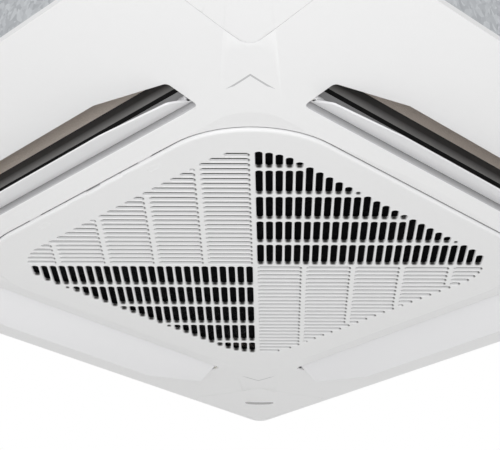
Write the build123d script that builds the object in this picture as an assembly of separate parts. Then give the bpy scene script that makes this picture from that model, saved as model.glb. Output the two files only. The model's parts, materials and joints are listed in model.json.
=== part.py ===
from build123d import *
import math
import os

# Ceiling cassette air conditioner, in millimetres. Heights run upwards from the face of the intake grille.
# "d" is the distance of a thing from the unit's centre line, measured square to a side of the panel, and
# "t" runs along that side. Each side is drawn at +X and turned into place.

# Plan of the whole unit, from the grille outwards
grille_half = 261.5
grille_corner_r = 114.5
grille_gap = 1.5
inner_strip = 27.5
outlet_w = 64.5
casing_margin = 65
panel_overlap = 55
recess_half = grille_half + grille_gap
recess_corner_r = grille_corner_r + grille_gap
outlet_in = recess_half + inner_strip
outlet_out = outlet_in + outlet_w
casing_half = outlet_out + casing_margin
panel_half = casing_half + panel_overlap

# Decorative panel
panel_corner_r = 18
panel_edge_h = 39
rim_h = 6
pocket_rise = 1
skin = 2.5
recess_lip_h = 3.7
land_corner_r = 48
recess_wall_top = 18.5
flange_w = 11
ceiling_h = panel_edge_h + rim_h
duct_top = 40.5
pocket_h = panel_edge_h + pocket_rise
flange_in = recess_half - flange_w
flange_low = recess_wall_top - skin
slope = (panel_edge_h - recess_lip_h) / (panel_half - recess_half)
skin_h = skin * math.sqrt(1 + slope**2)

# Air outlets and vanes
outlet_half = 215
outlet_corner_r = 6
straight_half = 125
end_slant = 0.24
duct_wall = 2.5
pivot_from_edge = 10.5
pivot_h = 15
vane_in = 7.5
vane_out = 52
vane_drop = 4
vane_thick = 3
vane_gap = 5
vane_corner_r = 5
vane_rib_half = 1
rest_tilt = 29
hub_r = 3.9
hub_len = 10
pin_r = 2
pin_fit = 0.05
bush_wall = 1.4
bush_flange_w = 1
bush_flange_t = 1.2
vane_motor_r = 9.5
vane_motor_offset = 7.2
vane_motor_len = 16
vane_shaft_len = 12.5
motor_ear_w = 36
motor_ear_h = 7
motor_ear_t = 1.5
motor_plug_half = 5
motor_plug_edge = 3
motor_plug_sink = 2
motor_plug_h = 8
pivot_d = outlet_in + pivot_from_edge
outlet_end_out = outlet_out - end_slant * (outlet_half - straight_half)
bush_r = pin_r + bush_wall

# Gasket and outlet collars between the panel and the unit
seal_w = 8
seal_t = 4.5
collar_wall = 2
collar_h = 18
seal_top = duct_top + seal_t

# Corner covers, panel bolts, receiver window
pocket_edge = 9
pocket_w = 146
pocket_corner_r = 14
cover_gap = 0.5
cover_peg_r = 3
bolt_inset = 16
bolt_r = 3
bolt_head_r = 7
bolt_head_h = 5
bolt_clear = 0.3
bolt_socket_r = 3
bolt_socket_depth = 3
window_len = 44
window_w = 14
window_inset = 68
window_fit = 0.1
pocket_out = panel_half - pocket_edge
pocket_in = pocket_out - pocket_w
bolt_at = pocket_in + bolt_inset
window_at = pocket_in + window_inset

# Intake grille
grille_t = 4
grille_edge_r = 3.6
slot_pitch = 11
slot_w = 8
band = 60
band_rib = 6
slot_area_half = 216.5
slot_area_r = 68
core_margin = 15.5
rim_inset = 6.5
rim_t = 2.5
grille_rim_top = 12
notch_at = 9.5
notch_len = 25
notch_depth = 1.2
dot_spacing = 48
dot_len = 3
press_mark_len = 22
press_mark_w = 9
press_mark_line = 1.5
press_mark_t = 0.4
least_slot = 4.5
core_half = slot_area_half + core_margin
core_r = slot_area_r + core_margin
grille_rim_out = grille_half - rim_inset
grille_rim_in = grille_rim_out - rim_t

# Grille hinge, on the +Y side
hinge_at = 150
hinge_inset = 3.9
hinge_h = 3.5
hinge_notch = 24
hinge_pin_r = 1.2
hinge_wall = 1.1
hinge_clear = 0.3
clip_len = 14
hinge_lug_w = 5
hinge_lug_in = 3
hinge_lug_top = 6.6
hinge_d = grille_half - hinge_inset

# Filter
filter_margin = 9.5
filter_bar = 7
filter_h = 5
filter_rib_w = 4
mesh_t = 0.8
mesh_lift = 1.2
mesh_holes = 17
mesh_strand = 1.6
filter_half = slot_area_half + filter_margin
filter_r = slot_area_r + filter_margin
filter_top = grille_t + filter_h

# Latches, on the -Y side
latch_at = 97
latch_len = 40
latch_h = 6
latch_filter_gap = 4
latch_spring_w = 4
latch_spring_edge = 4
latch_tip_lift = 0.5
latch_catch_depth = 1.2
latch_travel = 6
latch_tip_gap = 0.3
latch_side_gap = 0.4
latch_tip_h = 2.2
latch_top = grille_t + latch_h

# Casing
casing_chamfer = 150
casing_h = 246
sheet = 1.5
casing_flange_w = 22
liner = 10
liner_clear = 2
roof_rib_len = 640
roof_rib_w = 40
roof_rib_rise = 3
casing_bottom = seal_top + collar_h
casing_top_h = casing_bottom + casing_h
roof_h = casing_top_h - sheet
chamfer_radial = (2 * casing_half - casing_chamfer) / math.sqrt(2)

# Hangers
lug_rise = 131.5
lug_t = 3
slot_out = 20
slot_skew = 25
slot_len = 28
slot_half_w = 6
lug_width = 70
lug_reach = 54
hanger_below = 41
hanger_above = 49
web_rise = 40
screw_r = 2.5
screw_head_r = 5
screw_head_h = 3
screw_fit = 0.1
screw_below = 26
screw_above = 35
lug_h = casing_bottom + lug_rise
slot_x = casing_half - casing_chamfer / 2 + slot_out + slot_skew
slot_y = casing_half - casing_chamfer / 2 + slot_out - slot_skew

# Heat exchanger
coil_from_outlet = 14.5
coil_depth = 44
coil_in_r = 18
coil_below_roof = 16
coil_end = 170
plate_t = 1.5
plate_over = 2
tube_r = 4
tube_row_inset = 11
tube_first = 12
tube_last = 17
tube_count = 9
coil_out = outlet_in - coil_from_outlet
coil_in = coil_out - coil_depth
coil_out_r = coil_in_r + coil_depth
coil_top = roof_h - coil_below_roof
tube_row_1 = coil_in + tube_row_inset
tube_row_2 = coil_out - tube_row_inset

# Drain pan
pan_h = 61.5
trough_depth = 30
sump_depth = 20
trough_gap_in = 2
trough_gap_out = 3
pan_rim_w = 27
sump_back = 28
sump_front = 42
sump_left = 73
sump_right = 48
channel_half = 15
pan_top = casing_bottom + pan_h
trough_floor = pan_top - trough_depth
sump_floor = trough_floor - sump_depth
trough_in = coil_in - trough_gap_in
trough_out = coil_out + trough_gap_out
pan_hole_r = trough_in - pan_rim_w
tube_pitch = (coil_top - trough_floor - tube_first - tube_last) / (tube_count - 1)

# Refrigerant pipes
gas_r = 7.94
liquid_r = 4.76
pipe_wall = 1
pipe_step = 0.5
gas_header_r = 8
liquid_header_r = 6
header_reach = 35
gas_rise = 130.5
liquid_above_gas = 45
gas_side = 60
liquid_side = 85
pipe_reach = 55
pipe_bend_r = 40
nut_back = 26
gas_nut_af = 26
liquid_nut_af = 19
nut_len = 22
nut_fit = 0.1
port_side = 66
port_w = 84
port_below = 20
port_above = 27
port_plate_edge = 12
port_fit = 0.4
header_at = coil_end + header_reach
gas_h = casing_bottom + gas_rise
liquid_h = gas_h + liquid_above_gas
pipe_out = chamfer_radial + pipe_reach
port_low = gas_h - port_below
port_high = liquid_h + port_above

# Bell mouth
mouth_clear = 2
mouth_wall = 2
mouth_round = 40
mouth_rise = 31
mouth_flange_edge = 2
mouth_flange_r = 30
mouth_r = pan_hole_r - mouth_clear - mouth_round
mouth_top = pan_top + mouth_rise
mouth_flange_half = trough_in - mouth_flange_edge

# Fan
motor_r = 65
motor_h = 57
motor_lug_r = 88
motor_lug_w = 22
motor_lug_t = 4
motor_lug_root = 10
motor_low_bevel = 4
motor_top_bevel = 6
mount_at = 80
mount_r = 7
mount_waist = 5.5
mount_lip = 3
mount_h = 10
motor_plate_edge = 17
motor_plate_t = 2
shaft_r = 6
shaft_below_motor = 49
bearing_gap = 0.05
bearing_depth = 30
hub_outer_r = 16
hub_below_motor = 35
hub_gap = 4
wheel_gap = 17
wheel_below_motor_top = 7
wheel_wall = 2.5
bowl_gap = 5
bowl_below_motor = 17
bowl_round = 7
bowl_flare = 18
bowl_flare_h = 26
eye_gap = 6.5
eye_lap = 4
shroud_h = 40
blade_count = 7
blade_in = 118
blade_t = 4
blade_sweep = 42
blade_rise = 20
nut_af = 17
fan_nut_h = 9
fan_nut_fit = 0.05
motor_top = roof_h - motor_plate_t - mount_h
motor_bottom = motor_top - motor_h
motor_plate_r = motor_lug_r + motor_plate_edge
shaft_low = motor_bottom - shaft_below_motor
hub_low = motor_bottom - hub_below_motor
hub_high = motor_bottom - hub_gap
wheel_r = coil_in - wheel_gap
wheel_top = motor_top - wheel_below_motor_top
bowl_r = motor_r + bowl_gap
bowl_floor = motor_bottom - bowl_below_motor
shroud_in = mouth_r + eye_gap
shroud_low = mouth_top - eye_lap
blade_low = shroud_low + blade_rise

# Drain pump, float switch, drain outlet
pump_back = 67.9
pump_side = 45
pump_r = 22
pump_wall = 4
pump_floor_t = 3
pump_cup_h = 30
pump_motor_r = 18
pump_motor_h = 44
impeller_gap = 3
impeller_hub_r = 5
impeller_blade_half = 1
impeller_lift = 7
impeller_h = 12
impeller_shaft_r = 2.5
impeller_shaft_len = 34
riser_offset = 29
riser_r = 8
riser_bore_r = 5.5
riser_h = 59
hose_wall = 2.4
hose_fit = 0.1
hose_lap = 14
hose_bend_r = 20
drain_rise = 185.5
drain_r = 16
drain_back = 17.9
drain_reach = 48
drain_flange_r = 24
drain_flange_t = 2
float_side = -22
float_base_r = 8
float_base_h = 3
stem_r = 3
stem_cap_h = 3
float_r = 12
float_lift = 9
float_h = 15
float_gap = 0.3
float_travel = 10
pump_radial = chamfer_radial - pump_back
impeller_r = pump_r - pump_wall - impeller_gap
impeller_low = sump_floor + impeller_lift
impeller_shaft_top = impeller_low + impeller_shaft_len
riser_top = sump_floor + riser_h
hose_low = riser_top - hose_lap
drain_h = casing_bottom + drain_rise
drain_in = chamfer_radial - drain_back
float_low = sump_floor + float_lift

# Control box, on the -X side
box_edge = 5
box_w = 52
box_half = 190
box_h = 28.5
box_sheet = 1.2
lid_t = 1.2
board_sink = 11.5
board_t = 1.6
board_half = 120
chip_places = ((-90, 18), (-55, 12), (-20, 16))
chip_inset = 8
chip_drop = 10
can_places = (-80, -30)
can_r = 6
can_inset = 14
can_drop = 12
post_r = 3
terminal_len = 70
terminal_w = 22
terminal_drop = 12
terminal_from = 20
terminal_inset = 10
well_count = 6
well_r = 3
well_depth = 5
gland_rise = 145.5
gland_side = 60
gland_bore_r = 6
gland_wall = 1.9
gland_fit = 0.1
gland_af = 26
gland_len = 16
gland_back = 8
box_out = recess_half - box_edge
box_in = box_out - box_w
box_low = casing_bottom - box_h
board_h = casing_bottom - board_sink
gland_h = casing_bottom + gland_rise
gland_hole_r = gland_bore_r + gland_wall + gland_fit

side_turn = {"right": 0, "back": 90, "left": 180, "front": 270}
corner_signs = {"a": (1, 1), "b": (-1, 1), "c": (-1, -1), "d": (1, -1)}
low_corner = (Align.MIN, Align.MIN, Align.MIN)
on_base = (Align.CENTER, Align.CENTER, Align.MIN)


def save(name, shape):
    """Writes one piece, lowered so that the hangers' bearing faces lie at height 0."""
    export_step(Pos(0, 0, -lug_h) * shape, f"parts/{name}.step")


def slab(outline, low, high):
    """The outline, solid from one height to another."""
    return Pos(0, 0, low) * extrude(outline, high - low)


def square(half, corner_r):
    return RectangleRounded(2 * half, 2 * half, corner_r)


def block(x0, x1, y0, y1, z0, z1):
    return Pos(x0, y0, z0) * Box(x1 - x0, y1 - y0, z1 - z0, align=low_corner)


def post(x, y, radius, low, high):
    """An upright round bar."""
    return Pos(x, y, low) * Cylinder(radius, high - low, align=on_base)


def bar_y(x, z, radius, y0, y1):
    """A round bar along Y."""
    return Pos(x, y0, z) * Rot(-90, 0, 0) * Cylinder(radius, y1 - y0, align=on_base)


def bar_x(y, z, radius, x0, x1):
    """A round bar along X."""
    return Pos(x0, y, z) * Rot(0, 90, 0) * Cylinder(radius, x1 - x0, align=on_base)


def turned(shape, side):
    return Rot(0, 0, side_turn[side]) * shape


def all_sides(shape):
    return [turned(shape, side) for side in side_turn]


def face_h(d):
    """Height of the panel's sloping face at distance d."""
    return recess_lip_h + slope * (d - recess_half)


def octagon_points(inset):
    """Corners of the casing's plan, moved inwards on all eight sides."""
    half = casing_half - inset
    near = (chamfer_radial - inset) * math.sqrt(2) - half
    points = [(half, -near), (half, near), (near, half), (-near, half)]
    return points + [(-half, near), (-half, -near), (-near, -half), (near, -half)]


def octagon(inset):
    return Polygon(*octagon_points(inset), align=None)


def octagon_walls(outer_inset, inner_inset, low, high):
    """Eight upright slabs that follow the casing's sides and meet at its corners."""
    outer = octagon_points(outer_inset)
    inner = octagon_points(inner_inset)
    walls = []
    for i in range(8):
        j = (i + 1) % 8
        walls.append(slab(Polygon(outer[i], outer[j], inner[j], inner[i], align=None), low, high))
    return walls


def corner_place(corner, radial, side):
    """A point by a cut-off corner: radial from the centre, side along the corner's face."""
    sx, sy = corner_signs[corner]
    return ((sx * (radial + side)) / math.sqrt(2), (sy * (radial - side)) / math.sqrt(2))


def outward(corner):
    """The angle of the direction straight out of a corner."""
    sx, sy = corner_signs[corner]
    return math.degrees(math.atan2(sy, sx))


def radial_bar(corner, side, height, radius, start, end):
    """A round bar that points straight out of a cut-off corner."""
    x, y = corner_place(corner, start, side)
    lying = Rot(0, 0, outward(corner)) * Rot(0, 90, 0)
    return Pos(x, y, height) * lying * Cylinder(radius, end - start, align=on_base)


def hexagon_bar(corner, side, height, across_flats, start, end):
    """A hexagonal bar that points straight out of a cut-off corner."""
    x, y = corner_place(corner, start, side)
    lying = Rot(0, 0, outward(corner)) * Rot(0, 90, 0)
    outline = RegularPolygon(across_flats / 2, 6, major_radius=False)
    return Pos(x, y, height) * lying * extrude(outline, end - start)


# ---- panel

def outlet_outline(grow=0.0):
    """Plan of the outlet at +X: a straight inner edge, and an outer edge drawn in towards both ends."""
    shape = Polygon(
        (outlet_in, -outlet_half), (outlet_end_out, -outlet_half), (outlet_out, -straight_half),
        (outlet_out, straight_half), (outlet_end_out, outlet_half), (outlet_in, outlet_half),
        align=None,
    )
    shape = fillet(shape.vertices(), outlet_corner_r)
    return offset(shape, grow) if grow else shape


def panel_envelope(lift=0.0, inset=0.0):
    """The panel as one solid lump: a low pyramid on a straight rim."""
    low = Pos(0, 0, recess_lip_h + lift) * square(recess_half, land_corner_r)
    high = Pos(0, 0, panel_edge_h + lift) * square(panel_half, panel_corner_r)
    lump = loft([low, high], ruled=True)
    if inset:
        lump &= slab(square(panel_half - inset, panel_corner_r - inset), 0, panel_edge_h + lift)
    outline = square(panel_half - inset, panel_corner_r - inset)
    return lump + slab(outline, panel_edge_h + lift, ceiling_h + lift)


def corner_prism(corner, grow, low, high):
    """The removable corner's area, with sides pulled in by -grow."""
    sx, sy = corner_signs[corner]
    middle = (pocket_in + pocket_out) / 2
    side = pocket_out - pocket_in + 2 * grow
    outline = RectangleRounded(side, side, pocket_corner_r + grow)
    return Pos(sx * middle, sy * middle, 0) * slab(outline, low, high)


def window_prism(grow, low, high):
    sx, sy = corner_signs["b"]
    outline = SlotOverall(window_len + 2 * grow, window_w + 2 * grow)
    return Pos(sx * window_at, sy * window_at, 0) * Rot(0, 0, 45) * slab(outline, low, high)


def make_skin(envelope):
    """The panel's outer shell, without its openings."""
    return envelope - panel_envelope(lift=skin_h, inset=skin)


def duct_end_bores():
    """Holes in the outlets' end walls for the vane's bush and the motor's boss, at +X."""
    return bar_y(pivot_d, pivot_h, bush_r, -outlet_half - duct_wall - 1, -outlet_half + 1) + bar_y(
        pivot_d, pivot_h, bush_r, outlet_half - 1, outlet_half + duct_wall + 1
    )


def hinge_clip(x):
    """A clip that hangs from the panel's flange and holds the grille's pin."""
    y, z = hinge_d, hinge_h
    outer = hinge_pin_r + hinge_clear + hinge_wall
    eye = bar_x(y, z, outer, x - clip_len / 2, x + clip_len / 2)
    stem = block(x - clip_len / 2, x + clip_len / 2, y - hinge_wall / 2, y + hinge_wall / 2, z, flange_low)
    bore = bar_x(y, z, hinge_pin_r + hinge_clear, x - clip_len, x + clip_len)
    return eye + stem - bore


def make_panel(envelope, shell):
    inner_wall = square(recess_half + skin, recess_corner_r + skin)
    body = shell + slab(inner_wall, face_h(recess_half) + 1, recess_wall_top)
    flange = slab(square(outlet_in - duct_wall / 2, recess_corner_r + outlet_in - recess_half),
                  flange_low, recess_wall_top)
    body += flange
    for duct in all_sides(slab(outlet_outline(duct_wall), 0, duct_top)):
        body += duct & envelope
    for corner in corner_signs:
        body += corner_prism(corner, skin, 0, pocket_h + skin) & envelope
    body -= slab(square(recess_half, recess_corner_r), -1, flange_low)
    body -= slab(square(flange_in, recess_corner_r - (recess_half - flange_in)), 0, ceiling_h)
    for cut in all_sides(slab(outlet_outline(), -1, ceiling_h)):
        body -= cut
    for cut in all_sides(duct_end_bores()):
        body -= cut
    for corner, (sx, sy) in corner_signs.items():
        body -= corner_prism(corner, 0, 0, pocket_h)
        body -= post(sx * bolt_at, sy * bolt_at, bolt_r + bolt_clear, 0, ceiling_h)
    for x in (-latch_at, latch_at):
        half = latch_len / 2 + latch_side_gap
        body -= block(x - half, x + half, -recess_half - latch_catch_depth, -recess_half + 1,
                      grille_t, latch_top + latch_side_gap)
    return body


def make_corner_cover(shell, corner):
    """A piece of the panel's skin with four pegs that reach the pocket's floor."""
    cover = shell & corner_prism(corner, -cover_gap, 0, pocket_h - cover_gap)
    sx, sy = corner_signs[corner]
    middle = (pocket_in + pocket_out) / 2
    near = pocket_in + 3 * cover_peg_r
    far = pocket_out - 3 * cover_peg_r
    for x, y in ((near, middle), (far, middle), (middle, near), (middle, far)):
        foot = face_h(max(x, y)) + skin / 2
        cover += post(sx * x, sy * y, cover_peg_r, foot, pocket_h)
    if corner == "b":
        cover -= window_prism(0, 0, ceiling_h)
    return cover


def make_panel_bolts():
    """Four bolts, heads below the pocket's floor, ends in the casing's flange."""
    bolts = []
    for sx, sy in corner_signs.values():
        x, y = sx * bolt_at, sy * bolt_at
        low = pocket_h - bolt_head_h
        head = post(x, y, bolt_head_r, low, pocket_h)
        head -= Pos(x, y, low) * extrude(RegularPolygon(bolt_socket_r, 6), bolt_socket_depth)
        bolts.append(head + post(x, y, bolt_r, pocket_h - 1, casing_bottom + sheet))
    return Compound(bolts)


# ---- vanes

def make_vane():
    """The vane at +X, tilted to its rest angle about its pivot."""
    end = outlet_half - vane_gap
    tip = vane_out - end_slant * (end - straight_half)
    plan = Polygon((-vane_in, -end), (tip, -end), (vane_out, -straight_half),
                   (vane_out, straight_half), (tip, end), (-vane_in, end), align=None)
    plan = fillet(plan.vertices().filter_by_position(Axis.X, 0, vane_out), vane_corner_r)
    blade = slab(plan, -vane_drop, vane_thick - vane_drop)
    long_edges = blade.edges().filter_by(Plane.XY)
    blade = fillet(long_edges, 0.45 * vane_thick)
    rib = block(-vane_rib_half, vane_rib_half, -end + vane_rib_half, end - vane_rib_half,
                vane_thick - vane_drop - 0.5, hub_r - 1)
    hubs = bar_y(0, 0, hub_r, -end, -end + hub_len) + bar_y(0, 0, hub_r, end - hub_len, end)
    vane = blade + rib + hubs + bar_y(0, 0, pin_r, -outlet_half - duct_wall - 1, -end + 1)
    vane -= bar_y(0, 0, pin_r + pin_fit, end - hub_len + 1, end + 1)
    return Pos(pivot_d, 0, pivot_h) * Rot(0, rest_tilt, 0) * vane


def make_vane_motor():
    """A small stepper behind the outlet's end wall, with its shaft in the vane's hub."""
    start = outlet_half + duct_wall
    middle_h = pivot_h + vane_motor_offset
    can = bar_y(pivot_d, middle_h, vane_motor_r, start, start + vane_motor_len)
    ears = block(pivot_d - motor_ear_w / 2, pivot_d + motor_ear_w / 2, start, start + motor_ear_t,
                 middle_h - motor_ear_h / 2, middle_h + motor_ear_h / 2)
    plug_low = middle_h + vane_motor_r - motor_plug_sink
    plug = block(pivot_d - motor_plug_half, pivot_d + motor_plug_half,
                 start + motor_plug_edge, start + vane_motor_len - motor_plug_edge,
                 plug_low, plug_low + motor_plug_h)
    shaft = bar_y(pivot_d, pivot_h, pin_r, start - vane_shaft_len, start + 1)
    return can + ears + plug + shaft


def make_bush():
    """A flanged bush in the outlet's end wall, round the vane's pin."""
    wall_end = -outlet_half - duct_wall
    sleeve = bar_y(pivot_d, pivot_h, bush_r, wall_end, -outlet_half)
    flange = bar_y(pivot_d, pivot_h, bush_r + bush_flange_w, -outlet_half, -outlet_half + bush_flange_t)
    return sleeve + flange - bar_y(pivot_d, pivot_h, pin_r + pin_fit, wall_end - 1, -outlet_half + 2)


# ---- gasket and collars

def make_seal():
    """Four flat foam rings on top of the panel's ducts."""
    ring = slab(outlet_outline(seal_w) - outlet_outline(), duct_top, seal_top)
    return Compound(all_sides(ring))


def make_collars():
    """Four short ducts from the gasket up to the drain pan."""
    high = casing_bottom + sheet
    collar = slab(outlet_outline(collar_wall) - outlet_outline(), seal_top, high)
    return Compound(all_sides(collar))


# ---- intake grille, hinge, latches, filter

def slot_line_end(across):
    """How far a slot's centre line runs, from the square's diagonal to the slotted area's edge."""
    core = (slot_area_half - slot_area_r) * math.sqrt(2)
    bend = slot_area_r / math.sqrt(2)
    if across < bend:
        return core + math.sqrt(slot_area_r**2 - across**2)
    if across < core + bend:
        return slot_area_half * math.sqrt(2) - across
    return math.sqrt(max(slot_area_r**2 - (across - core)**2, 0))


def slot_runs(across):
    """Starts and ends of the slots on one line: one in each band, the last up to the area's edge. A rest
    too short for a slot of its own is joined to the slot before it."""
    reach = slot_line_end(across)
    start = band_rib / 2
    runs = []
    while reach - start >= least_slot:
        full = start + band - band_rib
        following = full + band_rib
        runs.append((start, full if reach - following >= least_slot else reach))
        start = following
    return runs


def slot_faces():
    """Outlines of the slots. They run along the square's diagonals, in bands, in four quarters whose
    directions alternate."""
    faces = []
    for index in range(math.ceil(slot_area_half * math.sqrt(2) / slot_pitch)):
        across = band_rib / 2 + slot_w / 2 + slot_pitch * index
        for start, end in slot_runs(across):
            long_enough = end - start > slot_w
            outline = SlotOverall(end - start, slot_w) if long_enough else Circle((end - start) / 2)
            along = (start + end) / 2
            for sx, sy, upright in ((1, 1, False), (-1, 1, True), (-1, -1, False), (1, -1, True)):
                p, q = (across, along) if upright else (along, across)
                x = (sx * p - sy * q) / math.sqrt(2)
                y = (sx * p + sy * q) / math.sqrt(2)
                placed = Pos(x, y, 0) * Rot(0, 0, 135 if upright else 45) * outline
                faces.append(placed.face())
    return faces


def make_grille_plate():
    """The face plate: a rounded outer border round a slotted core."""
    border = slab(square(grille_half, grille_corner_r), 0, grille_t)
    border = fillet(border.faces().sort_by(Axis.Z)[0].edges(), grille_edge_r)
    border -= slab(square(core_half, core_r), -1, grille_t + 1)
    outline = square(core_half, core_r).face().outer_wire()
    core = Face(outline, [face.outer_wire() for face in slot_faces()])
    return border + extrude(core, grille_t, dir=(0, 0, 1))


def make_grille():
    plate = make_grille_plate()
    out_r = grille_corner_r - rim_inset
    rim = slab(square(grille_rim_out, out_r), grille_t - 0.5, grille_rim_top)
    rim -= slab(square(grille_rim_in, out_r - rim_t), 0, grille_rim_top + 1)
    for x in (-latch_at, latch_at):
        half = latch_len / 2 + latch_side_gap
        rim -= block(x - half, x + half, -grille_half, -grille_rim_in + 1, grille_t, grille_rim_top + 1)
    y, z = hinge_d, hinge_h
    for x in (-hinge_at, hinge_at):
        half = hinge_notch / 2
        rim -= block(x - half, x + half, grille_rim_in - 1, grille_half, 0, grille_rim_top + 1)
    grille = plate + rim
    grille -= block(notch_at - notch_len / 2, notch_at + notch_len / 2,
                    -grille_half - 1, -grille_half + notch_depth, -1, grille_t + 1)
    for x in (notch_at - dot_spacing, notch_at + dot_spacing):
        grille -= block(x - dot_len / 2, x + dot_len / 2, -grille_half - 1,
                        -grille_half + notch_depth / 2, -1, grille_t + 1)
    mark_y = -(grille_half + core_half) / 2
    mark = SlotOverall(press_mark_len, press_mark_w) - SlotOverall(
        press_mark_len - 2 * press_mark_line, press_mark_w - 2 * press_mark_line)
    for x in (-latch_at, latch_at):
        grille += Pos(x, mark_y, 0) * slab(mark, -press_mark_t, 0.2)
    room = hinge_pin_r + hinge_clear + hinge_wall + hinge_clear
    for x in (-hinge_at, hinge_at):
        grille -= bar_x(y, z, room, x - hinge_notch / 2, x + hinge_notch / 2)
        grille -= block(x - hinge_notch / 2, x + hinge_notch / 2, y - room, grille_half + 1,
                        z - 0.35 * room, grille_rim_top)
        for side in (-1, 1):
            lug = x + side * (hinge_notch + hinge_lug_w) / 2
            grille += block(lug - hinge_lug_w / 2, lug + hinge_lug_w / 2, y - hinge_lug_in, y + hinge_pin_r,
                            grille_t - 1, hinge_lug_top)
        grille += bar_x(y, z, hinge_pin_r, x - hinge_notch / 2 - 1, x + hinge_notch / 2 + 1)
    return grille


def make_hinge_clips():
    clips = []
    for x in (-hinge_at, hinge_at):
        clips.append(hinge_clip(x))
    return Compound(clips)


def make_latch(x):
    """A sliding latch behind the grille, its tip just inside the panel's recess."""
    tip = recess_half - latch_tip_gap
    inner = filter_half + latch_travel + latch_filter_gap
    tip_low = grille_t + latch_tip_lift
    body = block(x - latch_len / 2, x + latch_len / 2, -grille_rim_out, -inner,
                 grille_t, latch_top)
    body += block(x - latch_len / 4, x + latch_len / 4, -tip, -grille_rim_out + 1,
                  tip_low, tip_low + latch_tip_h)
    half = latch_len / 2 - latch_spring_edge
    far = inner + latch_spring_edge + latch_spring_w
    spring_slot = block(x - half, x + half, -far, -inner - latch_spring_edge, grille_t - 1, latch_top + 1)
    return body - spring_slot


def make_filter_frame():
    frame = slab(square(filter_half, filter_r), grille_t, filter_top)
    frame -= slab(square(filter_half - filter_bar, filter_r - filter_bar), 0, filter_top + 1)
    inside = slab(square(filter_half - filter_bar / 2, filter_r - filter_bar / 2), grille_t, filter_top)
    rib_low = grille_t + mesh_lift + mesh_t
    for at in (-2 * band, -band, 0, band, 2 * band):
        rib = block(at - filter_rib_w / 2, at + filter_rib_w / 2, -filter_half, filter_half,
                    rib_low, filter_top)
        frame += rib & inside
        frame += (Rot(0, 0, 90) * rib) & inside
    return frame


def make_filter_mesh():
    """One net with square holes, under the filter frame's ribs."""
    half = filter_half - filter_bar
    net = square(half, filter_r - filter_bar)
    pitch = 2 * (half - filter_bar) / mesh_holes
    hole = pitch - mesh_strand
    wires = []
    inner = square(half - mesh_strand, filter_r - filter_bar - mesh_strand)
    for i in range(mesh_holes):
        for j in range(mesh_holes):
            x = (i - (mesh_holes - 1) / 2) * pitch
            y = (j - (mesh_holes - 1) / 2) * pitch
            cell = Pos(x, y, 0) * Rectangle(hole, hole)
            if abs(x) + abs(y) > 2 * half - filter_r - pitch:
                cell = cell & inner
            wires += [f.outer_wire() for f in (cell.faces() if cell else []) if f.area > hole]
    low = grille_t + mesh_lift
    return Pos(0, 0, low) * extrude(Face(net.face().outer_wire(), wires), mesh_t, dir=(0, 0, 1))


# ---- casing and hangers

def port_block(start, end, edge=0.0):
    """The opening for the refrigerant pipes, in corner a."""
    x, y = corner_place("a", start, -port_side)
    size = Box(end - start, port_w + 2 * edge, port_high - port_low + 2 * edge,
               align=(Align.MIN, Align.CENTER, Align.CENTER))
    return Pos(x, y, (port_low + port_high) / 2) * Rot(0, 0, outward("a")) * size


def casing_cuts():
    """All the holes in the casing's side and the liner behind it."""
    wall_in = chamfer_radial - sheet - liner - 2
    wall_out = chamfer_radial + 1
    cuts = [port_block(wall_in, wall_out)]
    cuts.append(radial_bar("b", -pump_side, drain_h, drain_r + port_fit, wall_in, wall_out))
    cuts.append(radial_bar("c", -gland_side, gland_h, gland_hole_r, wall_in, wall_out))
    return cuts


def make_casing_sides():
    """Eight folded sheets, each with a wall and a flange along its bottom."""
    sheets = []
    walls = octagon_walls(0, sheet, casing_bottom, roof_h)
    flanges = octagon_walls(0, casing_flange_w, casing_bottom, casing_bottom + sheet)
    for wall, flange in zip(walls, flanges):
        folded = wall + flange
        for cut in casing_cuts():
            folded -= cut
        for sx, sy in corner_signs.values():
            folded -= post(sx * bolt_at, sy * bolt_at, bolt_r + bolt_clear, 0, ceiling_h + casing_bottom)
        sheets.append(folded)
    return Compound(sheets)


def make_casing_top():
    """The roof sheet, with two crossed stiffening ribs pressed up out of it."""
    roof = slab(octagon(0), roof_h, casing_top_h)
    for angle in (45, 135):
        rib = SlotOverall(roof_rib_len, roof_rib_w)
        roof += Rot(0, 0, angle) * slab(rib, roof_h + sheet / 2, casing_top_h + roof_rib_rise)
    return roof


def make_liner():
    """Foam slabs on the casing's walls, and one under its roof round the motor's plate."""
    liner_low = roof_h - liner
    slabs = []
    for foam in octagon_walls(sheet, sheet + liner, pan_top, liner_low):
        for cut in casing_cuts():
            foam -= cut
        slabs.append(foam)
    slabs.append(slab(octagon(sheet) - Circle(motor_plate_r + liner_clear), liner_low, roof_h))
    return Compound(slabs)


def make_hanger_a():
    """The hanger of corner a: a plate on the casing, a lug with a slot, and two webs."""
    near = chamfer_radial
    middle = (slot_x - slot_y) / math.sqrt(2)
    y0 = -middle - lug_width / 2
    y1 = -middle + lug_width / 2
    plate = block(near, near + lug_t, y0, y1,
                  lug_h - hanger_below, lug_h + hanger_above)
    lug = block(near, near + lug_reach, y0, y1, lug_h, lug_h + lug_t)
    web_plan = Polygon((near, lug_h), (near + lug_reach, lug_h), (near + lug_reach, lug_h + 2 * lug_t),
                       (near + lug_t, lug_h + web_rise), (near, lug_h + web_rise), align=None)
    web = Rot(90, 0, 0) * extrude(web_plan, lug_t)
    webs = (Pos(0, y0 + lug_t, 0) * web) + (Pos(0, y1, 0) * web)
    hanger = Rot(0, 0, outward("a")) * (plate + lug + webs)
    slot = SlotOverall(slot_len, 2 * slot_half_w)
    hanger -= Pos(slot_x, slot_y, 0) * slab(slot, lug_h - 1, lug_h + lug_t + 1)
    for place in screw_places():
        hanger -= screw_bar(place, screw_r + screw_fit, -1, lug_t + 1)
    return hanger


def screw_places():
    middle = (slot_x - slot_y) / math.sqrt(2)
    third = lug_width / 3
    return [(side, height) for side in (middle - third, middle + third)
            for height in (lug_h - screw_below, lug_h + screw_above)]


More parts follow.
